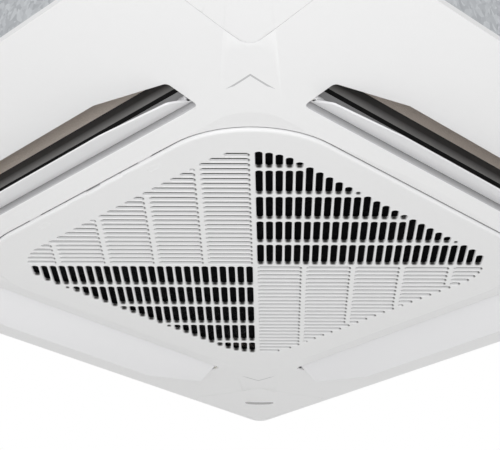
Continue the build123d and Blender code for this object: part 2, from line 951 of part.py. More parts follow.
def screw_bar(place, radius, start, end):
    side, height = place
    return radial_bar("a", side, height, radius, chamfer_radial + start, chamfer_radial + end)


def mirrored(shape, corner):
    """A corner-a piece on another corner."""
    sx, sy = corner_signs[corner]
    if sx < 0:
        shape = mirror(shape, Plane.YZ)
    if sy < 0:
        shape = mirror(shape, Plane.XZ)
    return shape


def make_hanger_screws():
    screws = []
    for place in screw_places():
        shank = screw_bar(place, screw_r, 0, lug_t + 1)
        screws.append(shank + screw_bar(place, screw_head_r, lug_t, lug_t + screw_head_h))
    return Compound([mirrored(screw, corner) for corner in corner_signs for screw in screws])


# ---- drain pan and heat exchanger

def make_drain_pan():
    low = casing_bottom + sheet
    pan = slab(octagon(sheet), low, pan_top) - post(0, 0, pan_hole_r, 0, pan_top + 1)
    trough = square(trough_out, coil_out_r + trough_gap_out) - square(trough_in, coil_in_r)
    pan -= slab(trough, trough_floor, pan_top + 1)
    sump_near = pump_radial - sump_back
    sump = Rot(0, 0, outward("b")) * block(sump_near, pump_radial + sump_front, -sump_left, sump_right,
                                           sump_floor, pan_top + 1)
    pan -= sump
    channel = Rot(0, 0, outward("b")) * block(trough_out, sump_near + 1, -channel_half, channel_half,
                                              trough_floor, pan_top + 1)
    pan -= channel
    for cut in all_sides(slab(outlet_outline(), 0, pan_top + 1)):
        pan -= cut
    return pan


def make_coil():
    """The fin pack, bent round the fan, open at corner a."""
    coil = slab(square(coil_out, coil_out_r) - square(coil_in, coil_in_r), trough_floor, coil_top)
    return coil - block(coil_end, casing_half, coil_end, casing_half, 0, casing_top_h)


def end_plate():
    """The end plate across the fin pack's end at +X."""
    return block(coil_in - plate_over, coil_out + plate_over, coil_end, coil_end + plate_t,
                 trough_floor, coil_top + plate_over)


def swap_xy(shape):
    """The same piece at the fin pack's other end."""
    return mirror(shape, Plane(origin=(0, 0, 0), z_dir=(1, -1, 0)))


def tube_h(index):
    return trough_floor + tube_first + tube_pitch * index


def return_bends():
    """U-bends that join neighbouring tubes of the +X end."""
    start = coil_end + plate_t
    full = Rot(0, 90, 0) * Torus(tube_pitch / 2, tube_r)
    half = full & block(-tube_pitch, tube_pitch, 0, tube_pitch, -tube_pitch, tube_pitch)
    bends = []
    for d, first in ((tube_row_1, 0), (tube_row_2, 1)):
        for index in range(first, tube_count - 1, 2):
            bends.append(Pos(d, start, (tube_h(index) + tube_h(index + 1)) / 2) * half)
    return bends


def pipe_path(x, start_y, height, side):
    """A pipe's line: along +Y, then straight out through corner a."""
    exit_x, exit_y = corner_place("a", chamfer_radial, -side)
    bend_y = exit_y - (exit_x - x)
    end_x, end_y = corner_place("a", pipe_out, -side)
    return FilletPolyline((x, start_y, height), (x, bend_y, height), (end_x, end_y, height),
                          radius=pipe_bend_r)


def pipe_solid(path, radius):
    outline = (path ^ 0) * Circle(radius)
    return sweep(outline, path=path)


def pipe_way_out(path, radius, height, side):
    """The pipe's run, and its free end beyond the nut: a stub at the full radius, open at its end."""
    start = pipe_out - nut_back
    stub = radial_bar("a", -side, height, radius, start, pipe_out)
    bore = radial_bar("a", -side, height, radius - pipe_wall, start, pipe_out + 1)
    return pipe_solid(path, radius - pipe_step) + stub - bore


def make_gas_pipe():
    """A stub from the fin pack's +X end, an upright header and the way out."""
    header = post(tube_row_1, header_at, gas_header_r, trough_floor + tube_first, coil_top - tube_first)
    stub = bar_y(tube_row_1, tube_h(tube_count - 1), tube_r, coil_end + plate_t, header_at)
    path = pipe_path(tube_row_1, header_at, gas_h, gas_side)
    return header + stub + pipe_way_out(path, gas_r, gas_h, gas_side)


def make_liquid_pipe():
    """The same at the fin pack's +Y end."""
    header = post(header_at, tube_row_1, liquid_header_r, trough_floor + tube_first, coil_top - tube_first)
    stub = bar_x(tube_row_1, tube_h(tube_count - 1), tube_r, coil_end + plate_t, header_at)
    path = pipe_path(header_at, tube_row_1, liquid_h, liquid_side)
    return header + stub + pipe_way_out(path, liquid_r, liquid_h, liquid_side)


def flare_nut(side, height, radius, across_flats):
    end = pipe_out - nut_back
    nut = hexagon_bar("a", -side, height, across_flats, end - nut_len, end)
    return nut - radial_bar("a", -side, height, radius - pipe_step + nut_fit, end - nut_len - 1, end + 1)


def make_port_plate():
    """The cover over the pipe opening, outside the casing."""
    plate = port_block(chamfer_radial, chamfer_radial + sheet, port_plate_edge)
    for side, height, radius in ((gas_side, gas_h, gas_r), (liquid_side, liquid_h, liquid_r)):
        plate -= radial_bar("a", -side, height, radius + port_fit, chamfer_radial - 1, chamfer_radial + 5)
    return plate


# ---- fan

def make_motor_plate():
    return slab(Circle(motor_plate_r), roof_h - motor_plate_t, roof_h)


def mount_angles():
    return [90 + 120 * i for i in range(3)]


def make_motor_mounts():
    """Three rubber mounts between the motor's lugs and its plate."""
    high = roof_h - motor_plate_t
    waisted = ring_profile([
        (0, motor_top), (mount_r, motor_top), (mount_waist, motor_top + mount_lip),
        (mount_waist, high - mount_lip), (mount_r, high), (0, high),
    ])
    mounts = []
    for angle in mount_angles():
        mounts.append(Rot(0, 0, angle) * Pos(mount_at, 0, 0) * waisted)
    return Compound(mounts)


def ring_profile(points):
    """A body turned about the vertical axis from (radius, height) points."""
    outline = make_face(Polyline(*[(r, 0, h) for r, h in points], close=True))
    return revolve(outline, Axis.Z)


def make_fan_motor():
    motor = ring_profile([
        (0, motor_bottom), (motor_r - motor_low_bevel, motor_bottom),
        (motor_r, motor_bottom + motor_low_bevel), (motor_r, motor_top - motor_top_bevel),
        (motor_r - motor_top_bevel, motor_top), (0, motor_top),
    ])
    for angle in mount_angles():
        lug = block(motor_r - motor_lug_root, motor_lug_r, -motor_lug_w / 2, motor_lug_w / 2,
                    motor_top - motor_lug_t, motor_top)
        motor += Rot(0, 0, angle) * lug
    return motor - post(0, 0, shaft_r + bearing_gap, 0, motor_bottom + bearing_depth)


def make_fan_shaft():
    return post(0, 0, shaft_r, shaft_low, motor_bottom + bearing_depth - 0.5)


def make_fan_nut():
    low = hub_low - fan_nut_h
    nut = Pos(0, 0, low) * extrude(RegularPolygon(nut_af / 2, 6, major_radius=False), fan_nut_h)
    return nut - post(0, 0, shaft_r + fan_nut_fit, 0, casing_top_h)


def make_fan_wheel():
    """Backplate with a bowl round the motor, swept blades, and a shroud with the inlet's eye."""
    wall = wheel_wall
    bowl_out = bowl_r + wall
    back = ring_profile([
        (shaft_r, hub_low), (hub_outer_r, hub_low), (hub_outer_r, bowl_floor),
        (bowl_out - bowl_round, bowl_floor), (bowl_out, bowl_floor + bowl_round),
        (bowl_out + wall, wheel_top - bowl_flare_h), (bowl_out + bowl_flare, wheel_top - wall),
        (wheel_r, wheel_top - wall), (wheel_r, wheel_top), (bowl_out + bowl_flare - wall, wheel_top),
        (bowl_out, wheel_top - bowl_flare_h + wall), (bowl_r, bowl_floor + bowl_round + wall),
        (bowl_r - bowl_round, bowl_floor + wall), (hub_outer_r, bowl_floor + wall),
        (hub_outer_r, hub_high), (shaft_r, hub_high),
    ])
    shroud_high = shroud_low + shroud_h
    shroud = ring_profile([
        (shroud_in, shroud_low), (shroud_in + wall, shroud_low), (shroud_in + 5, shroud_low + 17),
        (shroud_in + 20, shroud_low + 30), (wheel_r, shroud_high), (wheel_r, shroud_high + wall),
        (shroud_in + 19, shroud_low + 30 + wall), (shroud_in + 3, shroud_low + 18 + wall),
    ])
    room = ring_profile([
        (blade_in - 20, blade_low), (shroud_in + 4, blade_low), (shroud_in + 19.5, shroud_low + 31),
        (wheel_r - 0.5, shroud_high + 1), (wheel_r - 0.5, wheel_top - wall / 2),
        (bowl_out + 20, wheel_top - wall / 2 - 1),
    ])
    start = (blade_in, 0)
    bend = math.radians(blade_sweep)
    end = ((wheel_r - 1) * math.cos(bend), -(wheel_r - 1) * math.sin(bend))
    mid_r = (blade_in + wheel_r) / 2 + 4
    mid = (mid_r * math.cos(bend * 0.36), -mid_r * math.sin(bend * 0.36))
    blade = slab(trace(ThreePointArc(start, mid, end), blade_t), blade_low, wheel_top) & room
    wheel = back + shroud
    for index in range(blade_count):
        wheel += Rot(0, 0, 360 * index / blade_count) * blade
    return wheel


def make_bell_mouth():
    """A square flange under the drain pan that turns up into a round throat."""
    centre_r = mouth_r + mouth_round
    low = casing_bottom
    centre_h = casing_bottom + mouth_round
    inner = mouth_round - mouth_wall
    half = math.sqrt(0.5)
    air_side = ThreePointArc((mouth_r, 0, centre_h),
                             (centre_r - mouth_round * half, 0, centre_h - mouth_round * half),
                             (centre_r, 0, low))
    back_side = ThreePointArc((centre_r, 0, low + mouth_wall),
                              (centre_r - inner * half, 0, centre_h - inner * half),
                              (mouth_r + mouth_wall, 0, centre_h))
    outline = Wire([
        Line((mouth_r, 0, mouth_top), (mouth_r, 0, centre_h)), air_side,
        Line((centre_r, 0, low), (centre_r, 0, low + mouth_wall)), back_side,
        Line((mouth_r + mouth_wall, 0, centre_h), (mouth_r + mouth_wall, 0, mouth_top)),
        Line((mouth_r + mouth_wall, 0, mouth_top), (mouth_r, 0, mouth_top)),
    ])
    throat = revolve(make_face(outline), Axis.Z)
    flange = slab(square(mouth_flange_half, mouth_flange_r) - Circle(centre_r - 1), low, low + sheet)
    return throat + flange


# ---- drain pump, float, outlet

def pump_post(offset, radius, low, high):
    x, y = corner_place("b", pump_radial + offset, -pump_side)
    return post(x, y, radius, low, high)


def make_pump_body():
    cup_top = sump_floor + pump_cup_h
    body = pump_post(0, pump_r, sump_floor, cup_top)
    body -= pump_post(0, pump_r - pump_wall, sump_floor + pump_floor_t, cup_top + 1)
    riser = pump_post(riser_offset, riser_r, sump_floor, riser_top)
    riser -= pump_post(0, pump_r - pump_wall / 2, 0, casing_top_h)
    body += riser
    return body - pump_post(riser_offset, riser_bore_r, sump_floor + pump_floor_t, riser_top + 1)


def make_pump_motor():
    low = sump_floor + pump_cup_h
    motor = pump_post(0, pump_motor_r, low, low + pump_motor_h)
    return motor - pump_post(0, impeller_shaft_r + pin_fit, low - 1, impeller_shaft_top + 1)


def make_impeller():
    """Hub, shaft and four flat blades inside the pump's cup."""
    x, y = corner_place("b", pump_radial, -pump_side)
    rotor = post(x, y, impeller_hub_r, impeller_low, impeller_low + impeller_h)
    rotor += post(x, y, impeller_shaft_r, impeller_low, impeller_shaft_top)
    blade = block(-impeller_r, impeller_r, -impeller_blade_half, impeller_blade_half,
                  impeller_low, impeller_low + impeller_h)
    for angle in (0, 90):
        rotor += Pos(x, y, 0) * Rot(0, 0, angle) * blade
    return rotor


def make_hose():
    """Rubber hose from the pump's riser up and out to the drain stub."""
    start = corner_place("b", pump_radial + riser_offset, -pump_side)
    end = corner_place("b", drain_in + 10, -pump_side)
    path = FilletPolyline((*start, hose_low), (*start, drain_h), (*end, drain_h), radius=hose_bend_r)
    outer = riser_r + hose_fit + hose_wall
    hose = pipe_solid(path, outer)
    return hose - pipe_solid(path, riser_r + hose_fit)


def make_drain_outlet():
    hose_outer = riser_r + hose_fit + hose_wall + hose_fit
    end = chamfer_radial + drain_reach
    stub = radial_bar("b", -pump_side, drain_h, drain_r, drain_in, end)
    stub += radial_bar("b", -pump_side, drain_h, drain_flange_r, chamfer_radial,
                       chamfer_radial + drain_flange_t)
    return stub - radial_bar("b", -pump_side, drain_h, hose_outer, drain_in - 1, end + 1)


def float_post(radius, low, high):
    x, y = corner_place("b", pump_radial, -float_side)
    return post(x, y, radius, low, high)


def make_float_switch():
    switch = float_post(float_base_r, sump_floor, sump_floor + float_base_h)
    cap_low = float_low + float_h + float_travel + float_gap
    switch += float_post(stem_r, sump_floor, cap_low + stem_cap_h)
    return switch + float_post(2 * stem_r, cap_low, cap_low + stem_cap_h)


def make_float():
    high = float_low + float_h
    return float_post(float_r, float_low, high) - float_post(stem_r + float_gap, 0, high + 1)


# ---- control box

def make_control_box():
    """A folded tray under the bell mouth's flange, open below."""
    tray = block(box_in, box_out, -box_half, box_half, box_low, casing_bottom)
    tray -= block(box_in + box_sheet, box_out - box_sheet, -box_half + box_sheet, box_half - box_sheet,
                  0, casing_bottom - box_sheet)
    for x, y in board_posts():
        tray += post(x, y, post_r, board_h + board_t, casing_bottom - box_sheet / 2)
    return turned(tray, "left")


def board_posts():
    x0 = box_in + 3 * post_r
    x1 = box_out - 3 * post_r
    y1 = board_half - 2 * post_r
    return [(x0, -y1), (x1, -y1), (x0, y1), (x1, y1)]


def make_box_lid():
    return turned(block(box_in, box_out, -box_half, box_half, box_low - lid_t, box_low), "left")


def make_board():
    """The circuit board with its larger components below it."""
    edge = post_r
    board = block(box_in + edge, box_out - edge, -board_half, board_half, board_h, board_h + board_t)
    x0 = box_in + chip_inset
    for y, size in chip_places:
        board += block(x0, x0 + size, y, y + size, board_h - chip_drop, board_h)
    for y in can_places:
        board += post(box_out - can_inset, y, can_r, board_h - can_drop, board_h)
    return turned(board, "left")


def make_terminals():
    """The terminal block on the board, with a row of screw wells."""
    y0 = terminal_from
    x0 = box_in + terminal_inset
    low = board_h - terminal_drop
    body = block(x0, x0 + terminal_w, y0, y0 + terminal_len, low, board_h)
    for index in range(well_count):
        y = y0 + terminal_len * (index + 0.5) / well_count
        body -= post(x0 + terminal_w / 2, y, well_r, low - 1, low + well_depth)
    return turned(body, "left")


def make_gland():
    start = chamfer_radial
    gland = hexagon_bar("c", -gland_side, gland_h, gland_af, start, start + gland_len)
    gland += radial_bar("c", -gland_side, gland_h, gland_bore_r + gland_wall, start - gland_back, start + 1)
    return gland - radial_bar("c", -gland_side, gland_h, gland_bore_r, start - gland_back - 1,
                              start + gland_len + 1)


def build_panel_parts():
    envelope = panel_envelope()
    shell = make_skin(envelope)
    save("panel_body", make_panel(envelope, shell))
    for corner in corner_signs:
        save(f"corner_cover_{corner}", make_corner_cover(shell, corner))
    save("receiver_window", shell & window_prism(-window_fit, 0, ceiling_h))
    save("panel_bolts", make_panel_bolts())
    save("panel_seal", make_seal())
    save("outlet_collars", make_collars())


def build_vanes():
    vane = make_vane()
    motor = make_vane_motor()
    for side in side_turn:
        save(f"louver_{side}", turned(vane, side))
        save(f"louver_motor_{side}", turned(motor, side))
    save("louver_bushes", Compound(all_sides(make_bush())))


def build_grille_parts():
    save("intake_grille", make_grille())
    save("grille_hinge_clips", make_hinge_clips())
    save("grille_latch_left", make_latch(-latch_at))
    save("grille_latch_right", make_latch(latch_at))
    save("filter_frame", make_filter_frame())
    save("filter_mesh", make_filter_mesh())


def build_casing():
    save("casing_top", make_casing_top())
    save("casing_sides", make_casing_sides())
    save("casing_insulation", make_liner())
    hanger = make_hanger_a()
    for corner in corner_signs:
        save(f"suspension_bracket_{corner}", mirrored(hanger, corner))
    save("bracket_screws", make_hanger_screws())


def build_coil():
    save("drain_pan", make_drain_pan())
    save("heat_exchanger_fins", make_coil())
    save("heat_exchanger_plates", Compound([end_plate(), swap_xy(end_plate())]))
    bends = return_bends()
    save("heat_exchanger_bends", Compound(bends + [swap_xy(bend) for bend in bends]))
    save("gas_pipe", make_gas_pipe())
    save("liquid_pipe", make_liquid_pipe())
    save("flare_nuts", Compound([flare_nut(gas_side, gas_h, gas_r, gas_nut_af),
                                 flare_nut(liquid_side, liquid_h, liquid_r, liquid_nut_af)]))
    save("pipe_plate", make_port_plate())


def build_fan():
    save("motor_plate", make_motor_plate())
    save("motor_rubber_mounts", make_motor_mounts())
    save("fan_motor", make_fan_motor())
    save("fan_shaft", make_fan_shaft())
    save("fan_wheel", make_fan_wheel())
    save("fan_nut", make_fan_nut())
    save("bell_mouth", make_bell_mouth())


def build_drain():
    save("drain_pump_body", make_pump_body())
    save("drain_pump_motor", make_pump_motor())
    save("drain_pump_impeller", make_impeller())
    save("drain_hose", make_hose())
    save("drain_outlet", make_drain_outlet())
    save("float_switch", make_float_switch())
    save("float", make_float())


def build_electrics():
    save("control_box", make_control_box())
    save("control_box_cover", make_box_lid())
    save("circuit_board", make_board())
    save("terminal_block", make_terminals())
    save("cable_gland", make_gland())


os.makedirs("parts", exist_ok=True)
build_panel_parts()
build_vanes()
build_grille_parts()
build_casing()
build_coil()
build_fan()
build_drain()
build_electrics()
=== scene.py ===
import json
import math

import bmesh
import bpy
import numpy as np
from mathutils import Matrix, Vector
from mathutils.geometry import delaunay_2d_cdt


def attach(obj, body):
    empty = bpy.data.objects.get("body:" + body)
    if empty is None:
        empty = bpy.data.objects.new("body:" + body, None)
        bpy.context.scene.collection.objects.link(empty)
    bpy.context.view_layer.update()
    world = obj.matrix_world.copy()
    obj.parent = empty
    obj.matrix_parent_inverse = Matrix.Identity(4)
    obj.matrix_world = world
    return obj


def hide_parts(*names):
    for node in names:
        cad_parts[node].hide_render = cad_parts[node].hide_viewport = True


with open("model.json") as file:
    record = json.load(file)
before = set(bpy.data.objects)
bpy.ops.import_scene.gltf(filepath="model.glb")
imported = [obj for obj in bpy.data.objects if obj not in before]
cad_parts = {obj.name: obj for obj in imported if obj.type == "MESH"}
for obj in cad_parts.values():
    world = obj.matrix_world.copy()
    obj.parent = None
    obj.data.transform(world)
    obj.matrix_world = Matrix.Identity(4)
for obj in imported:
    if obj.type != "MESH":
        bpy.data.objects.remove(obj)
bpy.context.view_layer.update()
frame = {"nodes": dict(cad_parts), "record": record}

# Ceiling cassette air conditioner, seen from below. Shapes are worked out in millimetres, with heights that
# run up from the intake grille's face; FACE_Z is that face, in metres, in the frame of the CAD model.

FACE_Z = -0.1945
SLOT_OF = {part["node"]: part["material_slot"] for part in frame["record"]["subparts"]}


# ---- shader nodes

def screen(red, green, blue):
    """The linear colour of a 0..255 screen colour, by the sRGB curve."""
    def channel(value):
        share = value / 255
        return share / 12.92 if share <= 0.04045 else ((share + 0.055) / 1.055) ** 2.4
    return channel(red), channel(green), channel(blue), 1.0


def feed(tree, made, values):
    """A node, with each of the named inputs linked to an output or set to a constant."""
    for socket, value in values.items():
        if hasattr(value, "is_output"):
            tree.links.new(value, made.inputs[socket])
        else:
            made.inputs[socket].default_value = value
    return made


def node(tree, kind, values=(), **settings):
    """A shader node with its settings made and its inputs fed."""
    made = tree.nodes.new(f"ShaderNode{kind}")
    for key, value in settings.items():
        setattr(made, key, value)
    return feed(tree, made, dict(values))


def calc(tree, operation, *terms, clamp=False):
    """The result of a math node."""
    return node(tree, "Math", enumerate(terms), operation=operation, use_clamp=clamp).outputs[0]


def mix_colour(tree, share, first, second):
    """A colour between two, by the share of the second."""
    return node(tree, "Mix", {0: share, 6: first, 7: second}, data_type="RGBA").outputs[2]


def noise(tree, place, scale, detail, roughness=0.5):
    """Smooth noise from 0 to 1."""
    values = {"Vector": place, "Scale": scale, "Detail": detail, "Roughness": roughness}
    return node(tree, "TexNoise", values).outputs["Fac"]


def object_place(tree):
    """Where a point is, in metres."""
    return node(tree, "TexCoord").outputs["Object"]


def object_axes(tree):
    """Object coordinates, axis by axis."""
    return node(tree, "SeparateXYZ", {0: object_place(tree)}).outputs


def absolute_xy(tree, place):
    """|x| and |y| of a place."""
    return [calc(tree, "ABSOLUTE", place[axis]) for axis in "XY"]


def square_place(tree):
    """How far out a point is in square rings round the middle, max(|x|, |y|), and its height."""
    place = object_axes(tree)
    return calc(tree, "MAXIMUM", *absolute_xy(tree, place)), place["Z"]


# ---- shader node groups, shared by the materials

# The outlets' inner walls, in metres: their distances from the middle, and the height above which they are
# painted darker as shade, behind the panel's face.
INNER_WALL_FROM, INNER_WALL_TO, WALL_SHADE_LOW = 0.2897, 0.292, -0.1858


def new_group(name, inputs, outputs):
    """An empty shader node group: its tree, what it is given, and its output node. Inputs are named with
    their default values; the output called Colour is a colour, and all others are numbers."""
    tree = bpy.data.node_groups.new(name, "ShaderNodeTree")
    for label, value in inputs.items():
        kind = "Float" if isinstance(value, float) else {3: "Vector", 4: "Color"}[len(value)]
        socket = tree.interface.new_socket(label, in_out="INPUT", socket_type=f"NodeSocket{kind}")
        socket.default_value = value
    for label in outputs:
        kind = "Color" if label == "Colour" else "Float"
        tree.interface.new_socket(label, in_out="OUTPUT", socket_type=f"NodeSocket{kind}")
    return tree, tree.nodes.new("NodeGroupInput").outputs, tree.nodes.new("NodeGroupOutput")


def wandering(tree, share, given):
    """A roughness that swings about its middle with a share from 0 to 1."""
    swing = calc(tree, "SUBTRACT", share, 0.5)
    return calc(tree, "MULTIPLY_ADD", swing, given["Swing"], given["Roughness"])


def tone_group():
    """Colour times a slow cloud of lighter and darker, plus a faint finer one:
    colour * (1 + amount * (slow + 0.4 fine - 0.7))."""
    tree, given, out = new_group("Uneven tone", {"Colour": (1, 1, 1, 1), "Amount": 0.05, "Size": 6.0},
                                 ["Colour"])
    place = object_place(tree)
    slow = noise(tree, place, given["Size"], 4.0)
    fine = noise(tree, place, calc(tree, "MULTIPLY", given["Size"], 17.0), 2.0)
    swing = calc(tree, "SUBTRACT", calc(tree, "MULTIPLY_ADD", fine, 0.4, slow), 0.7)
    gain = calc(tree, "MULTIPLY_ADD", swing, given["Amount"], 1.0)
    scaled = node(tree, "VectorMath", {0: given["Colour"], "Scale": gain}, operation="SCALE")
    feed(tree, out, {"Colour": scaled.outputs["Vector"]})
    return tree


def grain_group():
    """Fine moulded or cast grain as a height, and a roughness that wanders slowly."""
    tree, given, out = new_group("Moulded grain", {"Size": 900.0, "Roughness": 0.45, "Swing": 0.06},
                                 ["Height", "Roughness"])
    place = object_place(tree)
    feed(tree, out, {"Height": noise(tree, place, given["Size"], 2.0),
                     "Roughness": wandering(tree, noise(tree, place, 11.0, 3.0), given)})
    return tree


def dust_group():
    """Mask of the dust that settles on faces that look up, broken by noise."""
    tree, given, out = new_group("Settled dust", {"Amount": 0.4}, ["Mask"])
    facing = node(tree, "SeparateXYZ", {0: node(tree, "NewGeometry").outputs["Normal"]}).outputs["Z"]
    upward = calc(tree, "MULTIPLY_ADD", facing, 2.0, -0.9, clamp=True)
    patch = noise(tree, object_place(tree), 7.0, 6.0, roughness=0.65)
    spread = calc(tree, "MULTIPLY_ADD", patch, 1.6, -0.2, clamp=True)
    settled = calc(tree, "MULTIPLY", upward, spread)
    feed(tree, out, {"Mask": calc(tree, "MULTIPLY", settled, given["Amount"])})
    return tree


def spangle_group():
    """Zinc flowers: cells of random brightness, with a roughness that follows them."""
    tree, given, out = new_group("Zinc flowers", {"Light": (1, 1, 1, 1), "Dark": (0, 0, 0, 1), "Size": 90.0},
                                 ["Colour", "Roughness"])
    place = object_place(tree)
    wander = node(tree, "TexNoise", {"Vector": place, "Scale": 60.0, "Detail": 2.0}).outputs["Color"]
    bent = node(tree, "VectorMath", {0: wander, 1: (0.02, 0.02, 0.02), 2: place}, operation="MULTIPLY_ADD")
    cells = node(tree, "TexVoronoi", {"Vector": bent.outputs["Vector"], "Scale": given["Size"]})
    value = node(tree, "SeparateColor", {0: cells.outputs["Color"]}).outputs["Red"]
    feed(tree, out, {"Colour": mix_colour(tree, value, given["Dark"], given["Light"]),
                     "Roughness": calc(tree, "MULTIPLY_ADD", value, 0.12, 0.42)})
    return tree


def bead_group():
    """Pressed foam beads: rounded cells as a height, and a mask of the seams between them."""
    tree, given, out = new_group("Foam beads", {"Size": 260.0}, ["Height", "Seams"])
    cells = node(tree, "TexVoronoi", {"Vector": object_place(tree), "Scale": given["Size"]},
                 feature="DISTANCE_TO_EDGE")
    height = calc(tree, "MULTIPLY", cells.outputs["Distance"], 3.0, clamp=True)
    feed(tree, out, {"Height": height, "Seams": calc(tree, "SUBTRACT", 1.0, height, clamp=True)})
    return tree


def drawn_group():
    """Fine lines left by drawing, rolling or turning: noise stretched along one axis."""
    tree, given, out = new_group("Drawn lines", {"Stretch": (20, 20, 600), "Roughness": 0.3, "Swing": 0.15},
                                 ["Height", "Roughness"])
    scaled = node(tree, "VectorMath", {0: object_place(tree), 1: given["Stretch"]}, operation="MULTIPLY")
    lines = noise(tree, scaled.outputs["Vector"], 1.0, 4.0)
    feed(tree, out, {"Height": lines, "Roughness": wandering(tree, lines, given)})
    return tree


def wall_shade_group():
    """Mask of the painted shade on the outlets' inner walls: one on the flat inner wall of each outlet,
    behind the panel's face, and zero elsewhere.
    """
    tree, _, out = new_group("Painted outlet wall shade", {}, ["Mask"])
    across, height = square_place(tree)
    on_wall = calc(tree, "MULTIPLY", calc(tree, "GREATER_THAN", across, INNER_WALL_FROM),
                   calc(tree, "LESS_THAN", across, INNER_WALL_TO))
    behind = calc(tree, "GREATER_THAN", height, WALL_SHADE_LOW)
    feed(tree, out, {"Mask": calc(tree, "MULTIPLY", on_wall, behind)})
    return tree


TONE, GRAIN, DUST, SPANGLE = tone_group(), grain_group(), dust_group(), spangle_group()
BEADS, DRAWN, WALL_SHADE = bead_group(), drawn_group(), wall_shade_group()


# ---- materials

def new_material(name, constants=()):
    """A material, its node tree and its shader, with constant values set on the shader itself."""
    made = bpy.data.materials.new(name)
    made.use_nodes = True
    tree = made.node_tree
    return made, tree, feed(tree, tree.nodes["Principled BSDF"], dict(constants))


def use_group(tree, group, **values):
    """The outputs of a node group that is fed with the given values."""
    made = tree.nodes.new("ShaderNodeGroup")
    made.node_tree = group
    return feed(tree, made, values).outputs


def surface(tree, shader, colour, roughness, height, strength, distance):
    """Give a shader its colour, its roughness and a bump from a height."""
    bump = node(tree, "Bump", {"Height": height, "Strength": strength, "Distance": distance})
    feed(tree, shader, {"Base Color": colour, "Roughness": roughness, "Normal": bump.outputs["Normal"]})


def plastic(name, colour, roughness, grain=900.0, depth=0.12, tone=0.05, painted_shade=None, wall_shade_colour=None,
            constants=()):
    """Moulded plastic: uneven tone, fine grain, wandering roughness and, where asked, a painted shade colour
    on the outer walls' inner faces of the outlets and a painted shade colour where the mesh's point
    attribute says so, in the grille's slots."""
    made, tree, shader = new_material(name, constants)
    toned = use_group(tree, TONE, Colour=colour, Amount=tone)["Colour"]
    # Painted shade: the outlets' inner walls take the grey colour.
    if wall_shade_colour:
        toned = mix_colour(tree, use_group(tree, WALL_SHADE)["Mask"], toned, wall_shade_colour)
    # Painted shade: a point attribute mixes the dark colour into the grille's slot ends and deeper walls.
    if painted_shade:
        shade_share = node(tree, "Attribute", attribute_name="dust_and_painted_shade").outputs["Fac"]
        toned = mix_colour(tree, shade_share, toned, painted_shade)
    moulded = use_group(tree, GRAIN, Size=grain, Roughness=roughness, Swing=0.06)
    surface(tree, shader, toned, moulded["Roughness"], moulded["Height"], depth, distance=0.0004)
    return made


def zinc_sheet(name, light, dark, size=170.0, dusty=0.35, metallic=0.85):
    """Galvanised sheet: zinc flowers, faint rolling marks, and settled dust that dulls them."""
    made, tree, shader = new_material(name, {"Metallic": metallic})
    flowers = use_group(tree, SPANGLE, Light=light, Dark=dark, Size=size)
    dust_and_painted_shade = use_group(tree, DUST, Amount=dusty)["Mask"]
    colour = mix_colour(tree, dust_and_painted_shade, flowers["Colour"], screen(150, 146, 138))
    rough = calc(tree, "MULTIPLY_ADD", dust_and_painted_shade, 0.5, flowers["Roughness"])
    feed(tree, shader, {"Metallic": calc(tree, "MULTIPLY_ADD", dust_and_painted_shade, -0.8, metallic)})
    rolled = use_group(tree, DRAWN, Stretch=(12.0, 900.0, 900.0))["Height"]
    surface(tree, shader, colour, rough, rolled, 0.08, distance=0.0003)
    return made


def worked_metal(name, colour, roughness, lines=(30.0, 30.0, 900.0), tone=0.12):
    """Drawn, pressed or turned metal: uneven tone and fine lines."""
    made, tree, shader = new_material(name, {"Metallic": 1.0})
    toned = use_group(tree, TONE, Colour=colour, Amount=tone, Size=14.0)["Colour"]
    drawn = use_group(tree, DRAWN, Stretch=lines, Roughness=roughness, Swing=0.18)
    surface(tree, shader, toned, drawn["Roughness"], drawn["Height"], 0.1, distance=0.0003)
    return made


def beaded_foam(name, colour, seams, size, painted_shade_inside=None):
    """Foam moulded from beads, darker in the seams between them and, where asked, painted near black as
    shade inside the ring of outlets, where the foam lies in the dark behind the grille."""
    made, tree, shader = new_material(name)
    toned = use_group(tree, TONE, Colour=colour, Amount=0.10, Size=9.0)["Colour"]
    beads = use_group(tree, BEADS, Size=size)
    beaded = mix_colour(tree, calc(tree, "MULTIPLY", beads["Seams"], 0.35), toned, seams)
    if painted_shade_inside:
        inner = calc(tree, "LESS_THAN", square_place(tree)[0], INNER_WALL_FROM)
        beaded = mix_colour(tree, inner, beaded, painted_shade_inside)
    surface(tree, shader, beaded, 0.8, beads["Height"], 0.5, distance=0.0005)
    return made


def finned_aluminium(name, pitch=0.0016):
    """Fins seen edge on: upright stripes that follow the pack round, with painted shade in the gaps between
    them.
    Their height is (1 + sin(2 pi s / pitch)) / 2, with s measured along the wall."""
    made, tree, shader = new_material(name, {"Metallic": 0.9})
    place = object_axes(tree)
    on_side = calc(tree, "GREATER_THAN", *absolute_xy(tree, place))
    along = node(tree, "Mix", {0: on_side, 2: place["X"], 3: place["Y"]}, data_type="FLOAT").outputs[0]
    wave = calc(tree, "SINE", calc(tree, "MULTIPLY", along, 2 * math.pi / pitch))
    height = calc(tree, "MULTIPLY_ADD", wave, 0.5, 0.5)
    # The dark stripes are painted shade in the gaps between the fins.
    striped = mix_colour(tree, height, screen(70, 74, 80), screen(208, 212, 218))
    toned = use_group(tree, TONE, Colour=striped, Amount=0.15, Size=12.0)["Colour"]
    surface(tree, shader, toned, calc(tree, "MULTIPLY_ADD", height, -0.25, 0.55), height, 0.4,
            distance=0.0004)
    return made


def shaded_gloss(name, foot, head, low, high):
    """Glossy plastic that is paler at its foot than at its head, between two heights: the pale foot is
    painted light and reflection, the dark head painted shade.
    """
    made, tree, shader = new_material(name)
    climb = {"Value": object_axes(tree)["Z"], "From Min": low, "From Max": high}
    shaded = mix_colour(tree, node(tree, "MapRange", climb).outputs[0], foot, head)
    toned = use_group(tree, TONE, Colour=shaded, Amount=0.3, Size=16.0)["Colour"]
    moulded = use_group(tree, GRAIN, Size=120.0, Roughness=0.2, Swing=0.2)
    surface(tree, shader, toned, moulded["Roughness"], moulded["Height"], 0.08, distance=0.0005)
    return made


